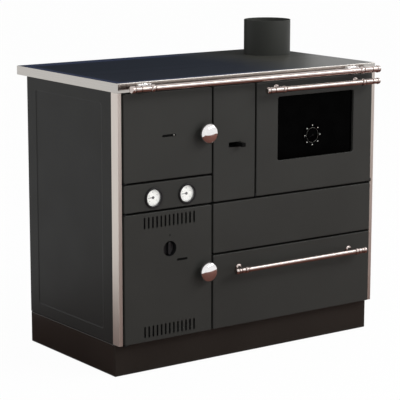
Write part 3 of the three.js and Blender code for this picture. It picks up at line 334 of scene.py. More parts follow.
def powderCoat(name, colour, roughness, shine, grain=0.9, depth=0.03):
    # baked paint: an even satin film with a faint orange peel and slight cloudiness
    material, tree, shader, place = startMaterial(name)
    shader.inputs["Specular IOR Level"].default_value = shine
    cloudSize, smudge, tintBy, shinier, duller = take(paintFilm, "cloud smudge cloudTint shinier duller")
    cloud, wear, peel = (addNode(tree, "ShaderNodeTexNoise", {"Scale": 1 / (size * mm), "Detail": detail},
                                 {"Vector": place}).outputs["Fac"]
                         for size, detail in ((cloudSize, 3.0), (smudge, 4.0), (grain, 2.0)))
    base = linear(colour)
    wireUp(tree, shader, cloud, ((0.3, shaded(base, 1 - tintBy)), (0.7, shaded(base, 1 + tintBy))),
           wear, (roughness - shinier, roughness + duller), peel, (paintFilm["peel"], depth))
    return material


# the belt leaves finer lines than these; they are drawn as coarse as they need to show
brushLines = {"wide": 1.1111, "long": 125, "dark": 0.88, "shinier": 0.06, "duller": 0.08,
              "relief": (0.15, 0.01)}


def brushedSteel(name, colour, roughness, axes):
    # stainless sheet, belt-ground: long hair-fine lines along the given axes
    material, tree, shader, place = startMaterial(name)
    shader.inputs["Metallic"].default_value = 1
    dark, shinier, duller, relief = take(brushLines, "dark shinier duller relief")
    stretch = [1 / (brushLines["long" if axis in axes else "wide"] * mm) for axis in range(3)]
    lay = addNode(tree, "ShaderNodeMapping", {"Scale": stretch}, {"Vector": place})
    hair = addNode(tree, "ShaderNodeTexNoise", {"Scale": 1.0, "Detail": 4.0},
                   {"Vector": lay.outputs["Vector"]}).outputs["Fac"]
    base = linear(colour)
    wireUp(tree, shader, hair, ((0.25, shaded(base, dark)), (0.75, base)),
           hair, (roughness - shinier, roughness + duller), hair, relief)
    return material


grainWear = {"vary": 0.05, "shiniest": 0.02, "strength": 0.4}


def speckled(name, colour, other, grain, roughness, metallic=0.0, depth=0.0, ramp=(0.4, 0.6), shine=0.5):
    # two near tones at a real grain size: castings, zinc, plating, plastic, enamel, ink
    material, tree, shader, place = startMaterial(name)
    shader.inputs["Metallic"].default_value = metallic
    if not metallic:
        shader.inputs["Specular IOR Level"].default_value = shine
    vary, shiniest, strength = take(grainWear, "vary shiniest strength")
    speck = addNode(tree, "ShaderNodeTexNoise", {"Scale": 1 / (grain * mm), "Detail": 4.0},
                    {"Vector": place}).outputs["Fac"]
    wireUp(tree, shader, speck, ((ramp[0], linear(colour)), (ramp[1], linear(other))),
           speck, (max(shiniest, roughness - vary), roughness + vary), speck, (strength, depth))
    return material


# the disc's marks are finer than these rings; a wave node's rings lie 2 pi / 20 / Scale apart
groundArcs = {"drift": 200, "sway": 0.12, "step": 1.9635, "gloss": (0.32, 0.35), "relief": (0.04, 0.01)}


def groundSteel(name, paintedBlue, warm, shiftFrom, shiftTo, shine):
    # ground and blackened steel: blue-black, its blue a painted reflection, turning to warm grey towards the
    # flue pipe between two places in x, with the fine arcs that the grinding disc leaves
    material, tree, shader, place = startMaterial(name)
    shader.inputs["Specular IOR Level"].default_value = shine
    driftSize, swayBy, arcStep, gloss, relief = take(groundArcs, "drift sway step gloss relief")
    parts = addNode(tree, "ShaderNodeSeparateXYZ", {}, {"Vector": place})
    drift = addNode(tree, "ShaderNodeTexNoise", {"Scale": 1 / (driftSize * mm), "Detail": 3.0},
                    {"Vector": place})
    sway = addNode(tree, "ShaderNodeMath", {"operation": "MULTIPLY_ADD"},
                   {0: drift.outputs["Fac"], 2: parts.outputs["X"]})
    sway.inputs[1].default_value = swayBy
    # how far the painted blue has turned to warm grey, from x and a little noise
    heat = addNode(tree, "ShaderNodeMapRange", {"From Min": shiftFrom, "From Max": shiftTo},
                   {"Value": sway.outputs["Value"]})
    arcs = addNode(tree, "ShaderNodeTexWave", {"wave_type": "RINGS", "Distortion": 1.5, "Detail": 2.0,
                                               "Scale": 2 * math.pi / (20 * arcStep * mm)},
                   {"Vector": place}).outputs["Fac"]
    wireUp(tree, shader, heat.outputs["Result"], ((0, linear(paintedBlue)), (1, linear(warm))),
           arcs, gloss, arcs, relief)
    return material


# doors and panels: satin, nearly neutral dark grey
frontPaint = powderCoat("anthracite powder coat", "#2c2c2a", 0.45, 0.22)
# side sheets: the same paint, flatter, and darker as painted shade, so that it stays dark at a low angle
sidePaintShaded = powderCoat("anthracite powder coat, painted shade", "#212120", 0.5, 0.16)
# flue pipe: heat paint, a little coarser and greener
pipePaint = powderCoat("anthracite heat paint", "#2d2e2b", 0.5, 0.2, grain=1.2, depth=0.05)
# plinth: gloss paint with a warm black and soft mirror images
plinthPaint = powderCoat("black gloss stove paint", "#23201d", 0.22, 0.35, grain=2.0, depth=0.02)
# corners: upright lines that blur what they mirror into soft bands
stainlessUpright = brushedSteel("stainless brushed upright", "#d6cec6", 0.4, axes=(2,))
# worktop frame: lines along the skirt, shinier, and darker than the corners as painted shade for the dark
# things that the skirt mirrors
stainlessTopShaded = brushedSteel("stainless brushed along, painted shade", "#bebab5", 0.14, axes=(0, 1))
# knobs, brackets and oven rack: clear mirror images
chrome = speckled("chrome plate polished", "#efedec", "#e8e6e6", grain=8, roughness=0.1, metallic=1)
# rail and handles: chrome made a touch darker and tinted warm, a painted reflection
barChromePaintedReflection = speckled("chrome plate, painted warm reflection", "#c4b8b3", "#bdb1ac", grain=30, roughness=0.14, metallic=1)
# hob plate: dark steel, its blue a painted reflection, turning to warm grey near the pipe
hobPaintedReflection = groundSteel("hob plate ground steel, painted blue reflection", "#23272f", "#3c3c38", 0.12, 0.34, 0.12)
# strip behind and beside the plate: a lighter blue, a painted reflection on the steel frame's top, turning to
# warm grey near the pipe like the plate
surroundPaintedReflection = groundSteel("hob surround steel, painted blue reflection", "#353c52", "#3c3c3a", 0.1, 0.3, 0.15)
# inner body, back sheet, bowl and hinges: flat black with a fine tooth
blackSteel = speckled("black heat paint", "#121213", "#18181a", grain=3, roughness=0.7, depth=0.05, shine=0.2)
# slides, lever and oven needle: blacker than the black paint, as painted shade, so they read as holes from
# afar
shadeBlackSteel = speckled("near-black steel, painted shade", "#060606", "#0b0b0b", grain=3, roughness=0.8, depth=0.05,
                       shine=0.1)
# grate and the firebox door's inner casting: grainy dark grey with a dull metal sheen
castIron = speckled("grey cast iron", "#242425", "#303031", grain=1.6, roughness=0.72, metallic=0.3,
                    depth=0.15)
# drawer box and ash pan: pale zinc with soft spangles
zincSheet = speckled("zinc coated sheet", "#8d9194", "#a2a6a9", grain=14, roughness=0.42, metallic=0.9,
                     ramp=(0.45, 0.55))
# oven lining and the inner frame of its door: glossy dark enamel with light specks
enamel = speckled("vitreous enamel", "#16181d", "#5d626b", grain=1.4, roughness=0.22, ramp=(0.66, 0.74))
# latches, runners, rosette, screws and small heads: plated steel with a soft shine
zincPlate = speckled("zinc plated steel", "#94948f", "#a6a5a0", grain=5, roughness=0.36, metallic=0.9)
# gauge cases, pointers and grip: soft black with a moulded grain
blackPlastic = speckled("black moulded plastic", "#121113", "#171618", grain=1, roughness=0.42, depth=0.02,
                        shine=0.3)
# dials: matt, nearly white print on sheet
dialSheet = speckled("white printed dial sheet", "#fbfaf6", "#f6f5f0", grain=6, roughness=0.5, shine=0.2)
# scale and numbers: thin grey ink
dialInk = speckled("grey dial ink", "#7c7b79", "#868583", grain=2, roughness=0.6, shine=0.2)
# thermometer studs: silver dots on the dark glass
markPaint = speckled("silver mark enamel", "#d9d9d6", "#cfcfcc", grain=3, roughness=0.35)
# door seal: woven, matt and uneven
ropeSeal = speckled("glass fibre rope", "#4a4741", "#6a665e", grain=1.8, roughness=0.9, depth=0.6)
# oven window and the thermometer's disc: coated black, with hardly any reflection
ovenGlass = speckled("black coated oven glass", "#010101", "#020202", grain=40, roughness=0.07, shine=0.01)
# gauge covers: nearly clear, seen only by a faint shine
gaugeGlass = speckled("clear gauge cover", "#ffffff", "#f8fafa", grain=20, roughness=0.04)
gaugeGlass.node_tree.nodes["Principled BSDF"].inputs["Alpha"].default_value = 0.06

slotMaterials = {
    "front_paint": frontPaint, "side_paint": sidePaintShaded, "plinth_paint": plinthPaint, "chrome": chrome,
    "hob": hobPaintedReflection, "black_steel": blackSteel, "cast_iron": castIron, "galvanised": zincSheet,
    "enamel": enamel, "zinc_steel": zincPlate, "black_plastic": blackPlastic, "dial_white": dialSheet,
    "rope_seal": ropeSeal, "oven_glass": ovenGlass, "gauge_glass": gaugeGlass, "stainless": stainlessUpright,
}
# needle, slides and lever take the near-black painted shade
nodeMaterials = {"oven_needle": shadeBlackSteel, "oven_hinge_left": blackSteel, "oven_hinge_right": blackSteel,
                 "ash_air_slider": shadeBlackSteel, "damper_lever": shadeBlackSteel}
for entry in frame["record"]["subparts"]:
    name = entry["node"]
    nodes[name].data.materials.clear()
    nodes[name].data.materials.append(nodeMaterials.get(name, slotMaterials[entry["material_slot"]]))
print("materials on the carried-over nodes")

# pressed front panels: a skin with a softly rounded rim and flanges folded back
panShape = {"sheet": 1.5, "cornerRound": 4, "rimRound": 2.2, "cutBefore": 5, "cutBehind": 4,
            "slotRound": 0.49, "knobHole": 5.4}
pinSocket = {"insetX": 4, "insetY": 3.5, "radius": 2.9, "reach": 9.3, "past": 1}
doorFace = boxOf("oven_door")[0].y
cutFrom, cutTo = doorFace - panShape["cutBefore"] * mm, doorFace + panShape["cutBehind"] * mm
knobX = middleOf("firebox_knob").x


def outFrom(y):
    # mm that a place stands in front of the doors' face
    return (doorFace - y) / mm


def turnOnFace(name, x, z, profile, steps):
    # turned about the axis that comes straight out of the doors' face; there a profile has its 0
    return lathe(name, (x, doorFace, z), (0, -1, 0), profile, steps)


def slotCutter(x, z, width, height, radius=None):
    # cuts a slot through a front skin, with rounded ends where no radius is given; sizes in mm
    aside, tall = width / 2 * mm, height / 2 * mm
    tool = startBox("slotTool", (x - aside, cutFrom, z - tall), (x + aside, cutTo, z + tall))
    roundEdges(tool, along(1), (radius or height * panShape["slotRound"]) * mm, 6)
    return tool


def addRod(radius, low, high, vertices, **turned):
    # a cylinder between two places, to cut with
    middle = [(a + b) / 2 for a, b in zip(low, high)]
    length = max(b - a for a, b in zip(low, high))
    deselectAll()
    bpy.ops.mesh.primitive_cylinder_add(radius=radius * mm, depth=length, location=middle, vertices=vertices,
                                        **turned)
    applyPlace()
    return bpy.context.object


def holeCutter(x, z, radius):
    return addRod(radius, (x, cutFrom, z), (x, cutTo, z), 48, rotation=(math.radians(90), 0, 0))


def pinCutters(node, settings=pinSocket):
    # sockets for the hinge pins at the door's left edge
    low, high = boxOf(node)
    insetX, insetY, reach, past = takeMm(settings, "insetX insetY reach past")
    x, y = low.x + insetX, low.y + insetY
    return [addRod(settings["radius"], (x, y, zFrom), (x, y, zTo), 24)
            for zFrom, zTo in ((low.z - past, low.z + reach), (high.z - reach, high.z + past))]


def foldPan(pan, low, high):
    # rounds the outer corners, opens the back, rounds the rim and gives the skin its wall
    middle, half = (low.x + high.x) / 2, (high.x - low.x) / 2

    def onRim(edge):
        return atDepth(low.y)(edge) and len(edge.link_faces) == 2 and \
            min(abs(f.normal.y) for f in edge.link_faces) < 0.5

    roundEdges(pan, lambda e: along(1)(e) and abs(e.verts[0].co.x - middle) > 0.98 * half,
               panShape["cornerRound"] * mm, 5)
    removeFaces(pan, lambda f: f.normal.y > 0.9 and near(f.calc_center_median().y, high.y, 0.1 * mm))
    roundEdges(pan, onRim, panShape["rimRound"] * mm, 4)
    thicken(pan, panShape["sheet"] * mm)


def pressedPan(name, node, body, cutters=()):
    low, high = boxOf(node)
    pan = startBox(name, low, high)
    foldPan(pan, low, high)
    cutWith(pan, list(cutters))
    smooth(pan)
    finish(pan, frontPaint, body, "front_paint", node)


# air slides: a near-black plate behind each slot, its darkness painted shade; its front lies below the door's
# skin
slideShape = {"below": 2.4, "corner": 2}


def buildSlide(node, name, settings):
    low, high = boxOf(node)
    plate = startBox(name, (low.x, doorFace + settings["below"] * mm, low.z), high)
    roundEdges(plate, along(1), settings["corner"] * mm, 4)
    smooth(plate)
    finish(plate, shadeBlackSteel, node, "black_steel", node)


# firebox door with its air slot and the slide's small round head
fireboxDoorParts = {"aside": 1.55, "drop": 1.5, "width": 47.5, "height": 7,
                    "headAt": 15.8, "headRadius": 2.3, "headBack": 2.6, "headFront": 1.4, "headDome": 1.3}


def buildFireboxDoor(settings):
    middle = middleOf("firebox_door")
    x, z = middle.x + settings["aside"] * mm, middle.z - settings["drop"] * mm
    cutters = [slotCutter(x, z, settings["width"], settings["height"]),
               holeCutter(knobX, middleOf("firebox_knob").z, panShape["knobHole"])]
    pressedPan("fireboxDoorPan", "firebox_door", "firebox_door", cutters + pinCutters("firebox_door"))
    buildSlide("firebox_air_slider", "fireboxSlidePlate", slideShape)
    radius, below, edge, dome = take(settings, "headRadius headBack headFront headDome")
    head = turnOnFace("fireboxSlideHead", x + settings["headAt"] * mm, z,
                      headProfile(radius, -below, edge, dome, 5), 24)
    finish(head, zincPlate, "firebox_air_slider", "zinc_steel", "firebox_air_slider")


buildFireboxDoor(fireboxDoorParts)

# ash door: two rows of air slots, the regulator's bowl, a peephole and a slide
ashDoorParts = {
    "slots": 13, "pitch": 14.4, "slotWidth": 6, "slotHeight": 34, "aside": 2.35, "marginTop": 28.5,
    "marginBottom": 29, "bowlRadius": 22, "bowlDepth": 15.5, "bowlTurn": 4, "bowlWall": 1.2, "bowlHole": 22.6,
    "shaftHole": 4.6, "flange": 2.4, "flangeBack": 1.6, "lip": 0.4, "lipBack": 0.6, "peepRadius": 2.2,
    "peepRise": 40, "slideAside": 46.55, "slideRise": 40.25, "slideWidth": 37.5, "slideHeight": 7,
    "slideRound": 3.2,
}


def slotRow(x, z, settings):
    count, pitch, width, height = take(settings, "slots pitch slotWidth slotHeight")
    tool = slotCutter(x - (count - 1) / 2 * pitch * mm, z, width, height, width * panShape["slotRound"])
    useModifier(tool, "ARRAY", {"count": count, "use_relative_offset": False, "use_constant_offset": True,
                                "constant_offset_displace": (pitch * mm, 0, 0)})
    return tool


def buildBowl(grip, settings):
    radius, depth, turn, wall = take(settings, "bowlRadius bowlDepth bowlTurn bowlWall")
    rim, back, shaft = radius + settings["flange"], -settings["flangeBack"], settings["shaftHole"]
    inside = [(rim, back), (radius + settings["lip"], -settings["lipBack"])] + \
        curve(radius - turn, turn - depth, turn, turn, 0, -90)
    outside = [(shaft, -depth), (shaft, -depth - wall)] + \
        curve(radius - turn, turn - depth, turn + wall, turn + wall, -90, 0) + \
        [(radius + wall, back - wall), (rim, back - wall)]
    bowl = turnOnFace("regulatorBowl", grip.x, grip.z, inside + outside + inside[:1], 64)
    finish(bowl, blackSteel, "ash_door", "front_paint", "ash_door")


def buildAshDoor(settings):
    low, high = boxOf("ash_door")
    middle = (low + high) / 2
    grip = middleOf("regulator_knob")
    aside, top, bottom, peepRise, slideAside, slideRise = takeMm(
        settings, "aside marginTop marginBottom peepRise slideAside slideRise")
    cutters = [
        slotRow(middle.x + aside, high.z - top, settings),
        slotRow(middle.x + aside, low.z + bottom, settings),
        holeCutter(grip.x, grip.z, settings["bowlHole"]),
        holeCutter(grip.x, grip.z + peepRise, settings["peepRadius"]),
        holeCutter(knobX, middleOf("ash_knob").z, panShape["knobHole"]),
        slotCutter(middle.x + slideAside, middle.z + slideRise,
                   *take(settings, "slideWidth slideHeight slideRound")),
    ]
    pressedPan("ashDoorPan", "ash_door", "ash_door", cutters + pinCutters("ash_door"))
    buildBowl(grip, settings)
    buildSlide("ash_air_slider", "ashSlidePlate", slideShape)


buildAshDoor(ashDoorParts)

# the regulator's disc and its straight finger grip, down in the bowl
regulatorGrip = {"floor": -15.2, "radius": 19.8, "rim": 1.6, "thickness": 5, "rimWide": 5, "slope": 1,
                 "dish": 0.8, "gripWidth": 8, "gripHeight": 36, "gripRise": 8.2, "gripFoot": 2,
                 "gripCorner": 3, "gripEdge": 1.5, "shaft": 3.9, "shaftFrom": 1}


def buildRegulator(settings):
    low, high = boxOf("regulator_knob")
    middle = (low + high) / 2
    floor, radius, rim, shaft = take(settings, "floor radius rim shaft")
    top = floor + settings["thickness"]
    inner, dished = radius - settings["rimWide"], top - settings["dish"]
    disc = turnOnFace("regulatorDisc", middle.x, middle.z, [(0, floor), (radius, floor)] +
                      curve(radius - rim, top - rim, rim, rim, 0, 90, 4) +
                      [(inner, top), (inner - settings["slope"], dished), (0, dished)], 56)
    half, tall = settings["gripWidth"] / 2 * mm, settings["gripHeight"] / 2 * mm
    front = doorFace - (top + settings["gripRise"]) * mm
    grip = startBox("grip", (middle.x - half, front, middle.z - tall),
                    (middle.x + half, doorFace - (top - settings["gripFoot"]) * mm, middle.z + tall))
    roundEdges(grip, along(1), settings["gripCorner"] * mm, 4)
    roundEdges(grip, atDepth(front), settings["gripEdge"] * mm, 3)
    smooth(grip)
    start, back = floor + settings["shaftFrom"], outFrom(high.y)
    stem = turnOnFace("shaft", middle.x, middle.z, [(0, start), (shaft, start), (shaft, back), (0, back)], 20)
    finish(joinPieces(disc, grip, stem), blackPlastic, "regulator", "black_plastic", "regulator_knob")


buildRegulator(regulatorGrip)
print("left-hand doors ready")

# gauges: black bezel in front of a cup, printed dial, domed cover, pointer at nine o'clock
gaugeShape = {
    "seat": 0.3, "bezelRadius": 30, "bezelRise": 4, "outerTurn": (1.6, 1.9), "innerTurn": (1.4, 1.2),
    "bore": 24.5, "innerDrop": 0.9, "ledge": 5, "cupIn": 3, "cupDepth": 17, "cupFloor": 1.7, "cupWall": 1.2,
    "dialRadius": 24, "dialSheet": 1, "dialEdge": 0.1, "coverWall": 0.8, "coverRise": 1.6, "hole": 26.2,
    "ticks": 27, "sweep": 260, "tickIn": 19.5, "tickOut": 22.6, "tickWidth": 0.35, "ink": 0.06,
    "numbers": (20, 40, 60, 80, 100), "numberSize": 4.2, "numberAt": 15.5,
    "pointer": 18, "pointerTail": 4.5, "bladeFront": 1.1, "bladeBack": 0.6, "bladeHalf": 0.9, "taper": 0.45,
    "taperFrom": 5, "hubRadius": 4, "hubTall": 1.1, "hubDome": 0.5,
}


def dialPlace(middle, radius, degrees, y):
    a = math.radians(degrees)
    return (middle.x + radius * mm * math.cos(a), y, middle.z + radius * mm * math.sin(a))


def spinCopies(count, degrees, centre):
    # copies what is selected round the level axis that comes out of the doors' face
    bpy.ops.mesh.spin(steps=count - 1, angle=math.radians(degrees), center=centre, axis=(0, -1, 0),
                      dupli=True)
    leaveEdit()


def buildBezel(side, middle, settings):
    outer, bore, rise, seat, ledge = take(settings, "bezelRadius bore bezelRise seat ledge")
    turnOut, turnIn, drop = take(settings, "outerTurn innerTurn innerDrop")
    cup, wall, inside = bore - settings["cupIn"], bore + settings["cupWall"], -settings["cupDepth"]
    back = inside - settings["cupFloor"]
    profile = [(outer, seat)] + curve(outer - turnOut[0], rise - turnOut[0], *turnOut, 0, 90, 5) + \
        curve(bore + turnIn[0], rise - drop, *turnIn, 90, 180, 4) + \
        [(bore, -ledge), (cup, -ledge), (cup, inside), (0, inside)] + \
        [(0, back), (wall, back), (wall, seat), (outer, seat)]
    bezel = turnOnFace("gaugeBezel_" + side, middle.x, middle.z, profile, 64)
    finish(bezel, blackPlastic, "stove", "black_plastic", "gauge_case_" + side)


def buildDial(side, middle, settings):
    low = boxOf("gauge_dial_" + side)[0]
    front, radius, edge = outFrom(low.y), settings["dialRadius"], settings["dialEdge"]
    back = front - settings["dialSheet"]
    dial = turnOnFace("gaugeDial_" + side, middle.x, middle.z,
                      [(0, back), (radius, back), (radius + edge, front - 2 * edge), (radius - edge, front),
                       (0, front)], 64)
    finish(dial, dialSheet, "stove", "dial_white", "gauge_dial_" + side)

    tickIn, tickOut, tickWidth, ink = takeMm(settings, "tickIn tickOut tickWidth ink")
    sweep, numbers = take(settings, "sweep numbers")
    inkY, half = low.y - ink, tickWidth / 2
    tick = startBox("gaugeMarks_" + side, (middle.x + tickIn, inkY, middle.z - half),
                    (middle.x + tickOut, low.y, middle.z + half))
    pick(tick, "FACE", lambda f: True)
    bpy.ops.transform.rotate(value=math.radians(90 - sweep / 2), orient_axis="Y", center_override=middle)
    spinCopies(settings["ticks"], sweep, middle)
    marks = [tick]
    for i, number in enumerate(numbers):
        angle = 90 + sweep * (0.5 - i / (len(numbers) - 1))
        deselectAll()
        bpy.ops.object.text_add(location=dialPlace(middle, settings["numberAt"], angle, inkY),
                                rotation=(math.radians(90), 0, 0))
        label = bpy.context.object
        label.data.body = str(number)
        label.data.size = settings["numberSize"] * mm
        label.data.align_x, label.data.align_y = "CENTER", "CENTER"
        label.data.resolution_u = 2
        bpy.ops.object.convert(target="MESH")
        applyPlace()
        marks.append(bpy.context.object)
    finish(joinPieces(*marks), dialInk, "stove", "dial_white", "gauge_dial_" + side)


def buildCover(side, middle, settings):
    back, radius = outFrom(boxOf("gauge_glass_" + side)[1].y), settings["dialRadius"]
    front = back + settings["coverWall"]
    profile = [(0, back), (radius, back), (radius, front)] + \
        curve(0, front, radius, settings["coverRise"], 10, 90, 8)
    cover = turnOnFace("gaugeCover_" + side, middle.x, middle.z, profile, 48)
    finish(cover, gaugeGlass, "stove", "gauge_glass", "gauge_glass_" + side)


def buildPointer(side, middle, settings):
    node = "gauge_needle_" + side
    back = boxOf(node)[1].y
    tip, tail, before, behind, half, taperFrom, taper = takeMm(
        settings, "pointer pointerTail bladeFront bladeBack bladeHalf taperFrom taper")
    blade = startBox("gaugePointer_" + side, (middle.x - tip, back - before, middle.z - half),
                     (middle.x + tail, back - behind, middle.z + half))
    for sign in (-1, 1):
        movePoints(blade, lambda v: v.co.x < middle.x - taperFrom and (v.co.z - middle.z) * sign > 0,
                   (0, 0, -sign * taper))
    foot = outFrom(back)
    radius, rise, dome = take(settings, "hubRadius hubTall hubDome")
    hub = turnOnFace("hub", middle.x, middle.z, headProfile(radius, foot, foot + rise, dome, 4), 24)
    finish(joinPieces(blade, hub), blackPlastic, node, "black_plastic", node)


gaugeMiddles = {side: middleOf("gauge_case_" + side) for side in ("left", "right")}
pressedPan("controlPan", "control_panel", "stove",
           [holeCutter(middle.x, middle.z, gaugeShape["hole"]) for middle in gaugeMiddles.values()])
for side, middle in gaugeMiddles.items():
    for build in (buildBezel, buildDial, buildCover, buildPointer):
        build(side, middle, gaugeShape)
print("gauges ready")

# narrow panel with the damper's slot, the fixed cover and the drawer front
leverSlot = {"aside": 1.95, "drop": 5.5, "width": 45.7, "height": 15, "round": 2}


def buildNarrowPan(settings):
    middle = middleOf("narrow_panel")
    aside, drop = takeMm(settings, "aside drop")
    tool = slotCutter(middle.x + aside, middle.z - drop, *take(settings, "width height round"))
    pressedPan("narrowPan", "narrow_panel", "stove", [tool])


buildNarrowPan(leverSlot)
pressedPan("cleaningPan", "cleaning_panel", "stove")
pressedPan("drawerPan", "drawer_front", "drawer")

# oven door: the skin is pressed in round the window
windowShape = {"left": 79.9, "right": 74.5, "top": 46.5, "bottom": 99.5, "corner": 8, "recess": 8.4,
               "lip": 2.6, "firstInset": 30}


def buildOvenDoor(settings):
    low, high = boxOf("oven_door")
    middle = (low + high) / 2
    pan = startBox("ovenDoorPan", low, high)
    first, left, right, bottom, top = takeMm(settings, "firstInset left right bottom top")
    insetFace(pan, facing(1, -1), first)
    x0, x1 = low.x + left, high.x - right
    z0, z1 = low.z + bottom, high.z - top

    def ofInset(v):
        return near(v.co.y, low.y) and low.x + 1 * mm < v.co.x < high.x - 1 * mm

    def inWindow(item):
        return all(x0 - 0.1 * mm < v.co.x < x1 + 0.1 * mm and z0 - 0.1 * mm < v.co.z < z1 + 0.1 * mm
                   for v in item.verts)

    movePoints(pan, lambda v: ofInset(v) and v.co.x < middle.x, (left - first, 0, 0))
    movePoints(pan, lambda v: ofInset(v) and v.co.x > middle.x, (first - right, 0, 0))
    movePoints(pan, lambda v: ofInset(v) and v.co.z < middle.z, (0, 0, bottom - first))
    movePoints(pan, lambda v: ofInset(v) and v.co.z > middle.z, (0, 0, first - top))
    pick(pan, "FACE", lambda f: f.normal.y < -0.9 and inWindow(f))
    extrudeBy((0, settings["recess"] * mm, 0))
    bpy.ops.mesh.delete(type="FACE")
    leaveEdit()
    roundEdges(pan, lambda e: along(1)(e) and inWindow(e), settings["corner"] * mm, 6)
    roundEdges(pan, lambda e: atDepth(low.y)(e) and inWindow(e) and folded(e, 1), settings["lip"] * mm, 3)
    foldPan(pan, low, high)
    smooth(pan)
    finish(pan, frontPaint, "oven_door", "front_paint", "oven_door")


buildOvenDoor(windowShape)
print("front panels ready")

# thermometer on the glass: a flat black disc with a fine ring and eight silver studs
thermoShape = {"radius": 36, "rimWide": 2, "dish": 0.6, "edgeTurn": (1, 0.7), "thickness": 2.1, "shaft": 2.8,
               "ringAt": 22.5, "ringWidth": 0.36, "ringSunk": 0.75, "groove": 0.9, "grooveHalf": 1,
               "studs": 8, "studRadius": 1.7, "studAt": 29.5, "studFoot": 1.2, "studDome": 0.5}


def buildThermometer(settings):
    low, high = boxOf("oven_thermometer")
    middle = (low + high) / 2
    front, back = outFrom(low.y), outFrom(high.y)
    radius, ring, half, edge, shaft = take(settings, "radius ringAt grooveHalf edgeTurn shaft")
    dished, under = front - settings["dish"], front - settings["thickness"]
    rim = radius - settings["rimWide"]
    profile = [(0, dished), (ring - half, dished), (ring, front - settings["groove"]), (ring + half, dished),
               (rim, dished), (rim + settings["dish"], front)] + \
        curve(radius - edge[0], front - edge[1], *edge, 90, 0, 4) + \
        [(radius, under), (shaft, under), (shaft, back), (0, back)]
    disc = turnOnFace("thermometerDisc", middle.x, middle.z, profile, 72)
    finish(disc, ovenGlass, "oven_door", "black_plastic", "oven_thermometer")

    size, at, foot, dome = take(settings, "studRadius studAt studFoot studDome")
    place = dialPlace(middle, at, 90, doorFace)
    studs = turnOnFace("thermometerStuds", place[0], place[2],
                       headProfile(size, front - foot, front - dome, dome, 4), 16)
    pick(studs, "FACE", lambda f: True)
    spinCopies(settings["studs"], 360 - 360 / settings["studs"], middle)
    finish(studs, markPaint, "oven_door", "black_plastic", "oven_thermometer")

    wire = settings["ringWidth"] / 2
    band = turnOnFace("thermometerRing", middle.x, middle.z,
                      curve(ring, front - settings["ringSunk"], wire, wire, 0, 360, 8), 72)
    finish(band, zincPlate, "oven_door", "black_plastic", "oven_thermometer")


buildThermometer(thermoShape)
print("thermometer ready")

# domed knobs on waisted necks
knobShape = {"seat": 0.3, "foot": 13, "footEdge": 1.6, "footBend": (7.5, 5.4), "neck": 7.5, "neckTo": 6,
             "throat": (5, 3.5), "rise": 18, "radius": 29.5, "backSlope": 1.6, "backFlat": 4, "edgeTurn": 2,
             "edgeRise": 0.4, "rim": 3.3, "dome": 15}


def buildKnob(node, name, settings):
    middle = middleOf(node)
    foot, neck, radius, rise, seat = take(settings, "foot neck radius rise seat")
    bend, throat, turn = take(settings, "footBend throat edgeTurn")
    throatAt = rise - settings["neckTo"]
    profile = [(0, seat), (foot, seat), (foot, settings["footEdge"])] + \
        curve(foot, bend[0], foot - neck, bend[1], 270, 180, 7) + \
        curve(neck + throat[0], throatAt, *throat, 180, 90) + \
        [(radius - settings["backFlat"], rise - settings["backSlope"])] + \
        curve(radius - turn, rise + settings["edgeRise"], turn, turn, -90, 0, 4) + \
        curve(0, rise + settings["rim"], radius, settings["dome"], 0, 90, 18)
    knob = turnOnFace(name, middle.x, middle.z, profile, 72)
    finish(knob, chrome, node, "chrome", node)


buildKnob("firebox_knob", "fireboxKnob", knobShape)
buildKnob("ash_knob", "ashKnob", knobShape)

# rail and handles: turned bars, each with a bead at its two posts, a sleeve outside and a rounded end cap
turning = {"sleeve": 0.7, "groove": 1.8, "slope": 0.4, "beadGap": 0.2, "beadGroove": 2.2, "beadTurn": 2.6,
           "jointShare": 0.62, "jointHalf": 1.2, "capGroove": 1.6, "capStart": (2, 2.4, 2.2),
           "capEnd": (3.4, 3.6, 3), "plainEnd": 3, "plainSteps": 6}
railShape = {"bar": 9, "bead": 11.6, "beadLength": 13, "cap": 11.3, "capLength": 12, "postInset": 72}
handleShape = {"bar": 8, "bead": 10.8, "beadLength": 10, "cap": 10, "capLength": 10, "axisIn": 11.5}


def barProfile(half, collar, settings):
    # from the middle outwards, then mirrored
    bar, cap = take(settings, "bar cap")
    slope, gap, wide, joint, steps = take(turning, "slope beadGap beadGroove jointHalf plainSteps")
    start, end, beadTurn = take(turning, "capStart capEnd beadTurn")
    sleeve, groove = bar + turning["sleeve"], bar - turning["groove"]
    bead, capFrom = settings["beadLength"] / 2, half - settings["capLength"]
    inner, outer = collar - bead, collar + bead
    jointAt = outer + turning["jointShare"] * (capFrom - outer)
    capGroove = capFrom - turning["capGroove"]
    plain = inner - turning["plainEnd"]
    side = [(bar, plain * i / steps) for i in range(1, steps + 1)]      # short steps, so it mirrors evenly
    side += [(bar, inner - wide - slope), (groove, inner - wide), (groove, inner - gap)]
    side += curve(settings["bead"] - beadTurn, collar, beadTurn, bead, -90, 90, 8)
    side += [(groove, outer + gap), (groove, outer + wide), (sleeve, outer + wide + slope)]
    side += [(sleeve, jointAt - joint - slope), (groove, jointAt - joint),
             (groove, jointAt + joint), (sleeve, jointAt + joint + slope)]
    side += [(sleeve, capGroove - slope), (groove, capGroove), (groove, capFrom)]
    side += curve(cap - start[0], capFrom + start[1], start[0], start[2], -90, 60)
    side += curve(cap - end[0], half - end[1], end[2], end[1], 0, 90) + [(0, half)]
    return [(r, -a) for r, a in reversed(side)] + side


# waisted posts; the head's points are (wider than the waist, mm before the bar's middle)
postShape = {"foot": 11, "waist": 5.6, "seat": 0.3, "footEdge": 1.4, "bend": (8, 6.2),
             "head": ((0, 14), (1.4, 10), (1.4, 4)), "end": 2}
stemShape = {"foot": 11, "waist": 6.6, "seat": -0.5, "footEdge": 1, "bend": (9, 7.5),
             "head": ((0, 15), (1.4, 12.5)), "end": 12.2}


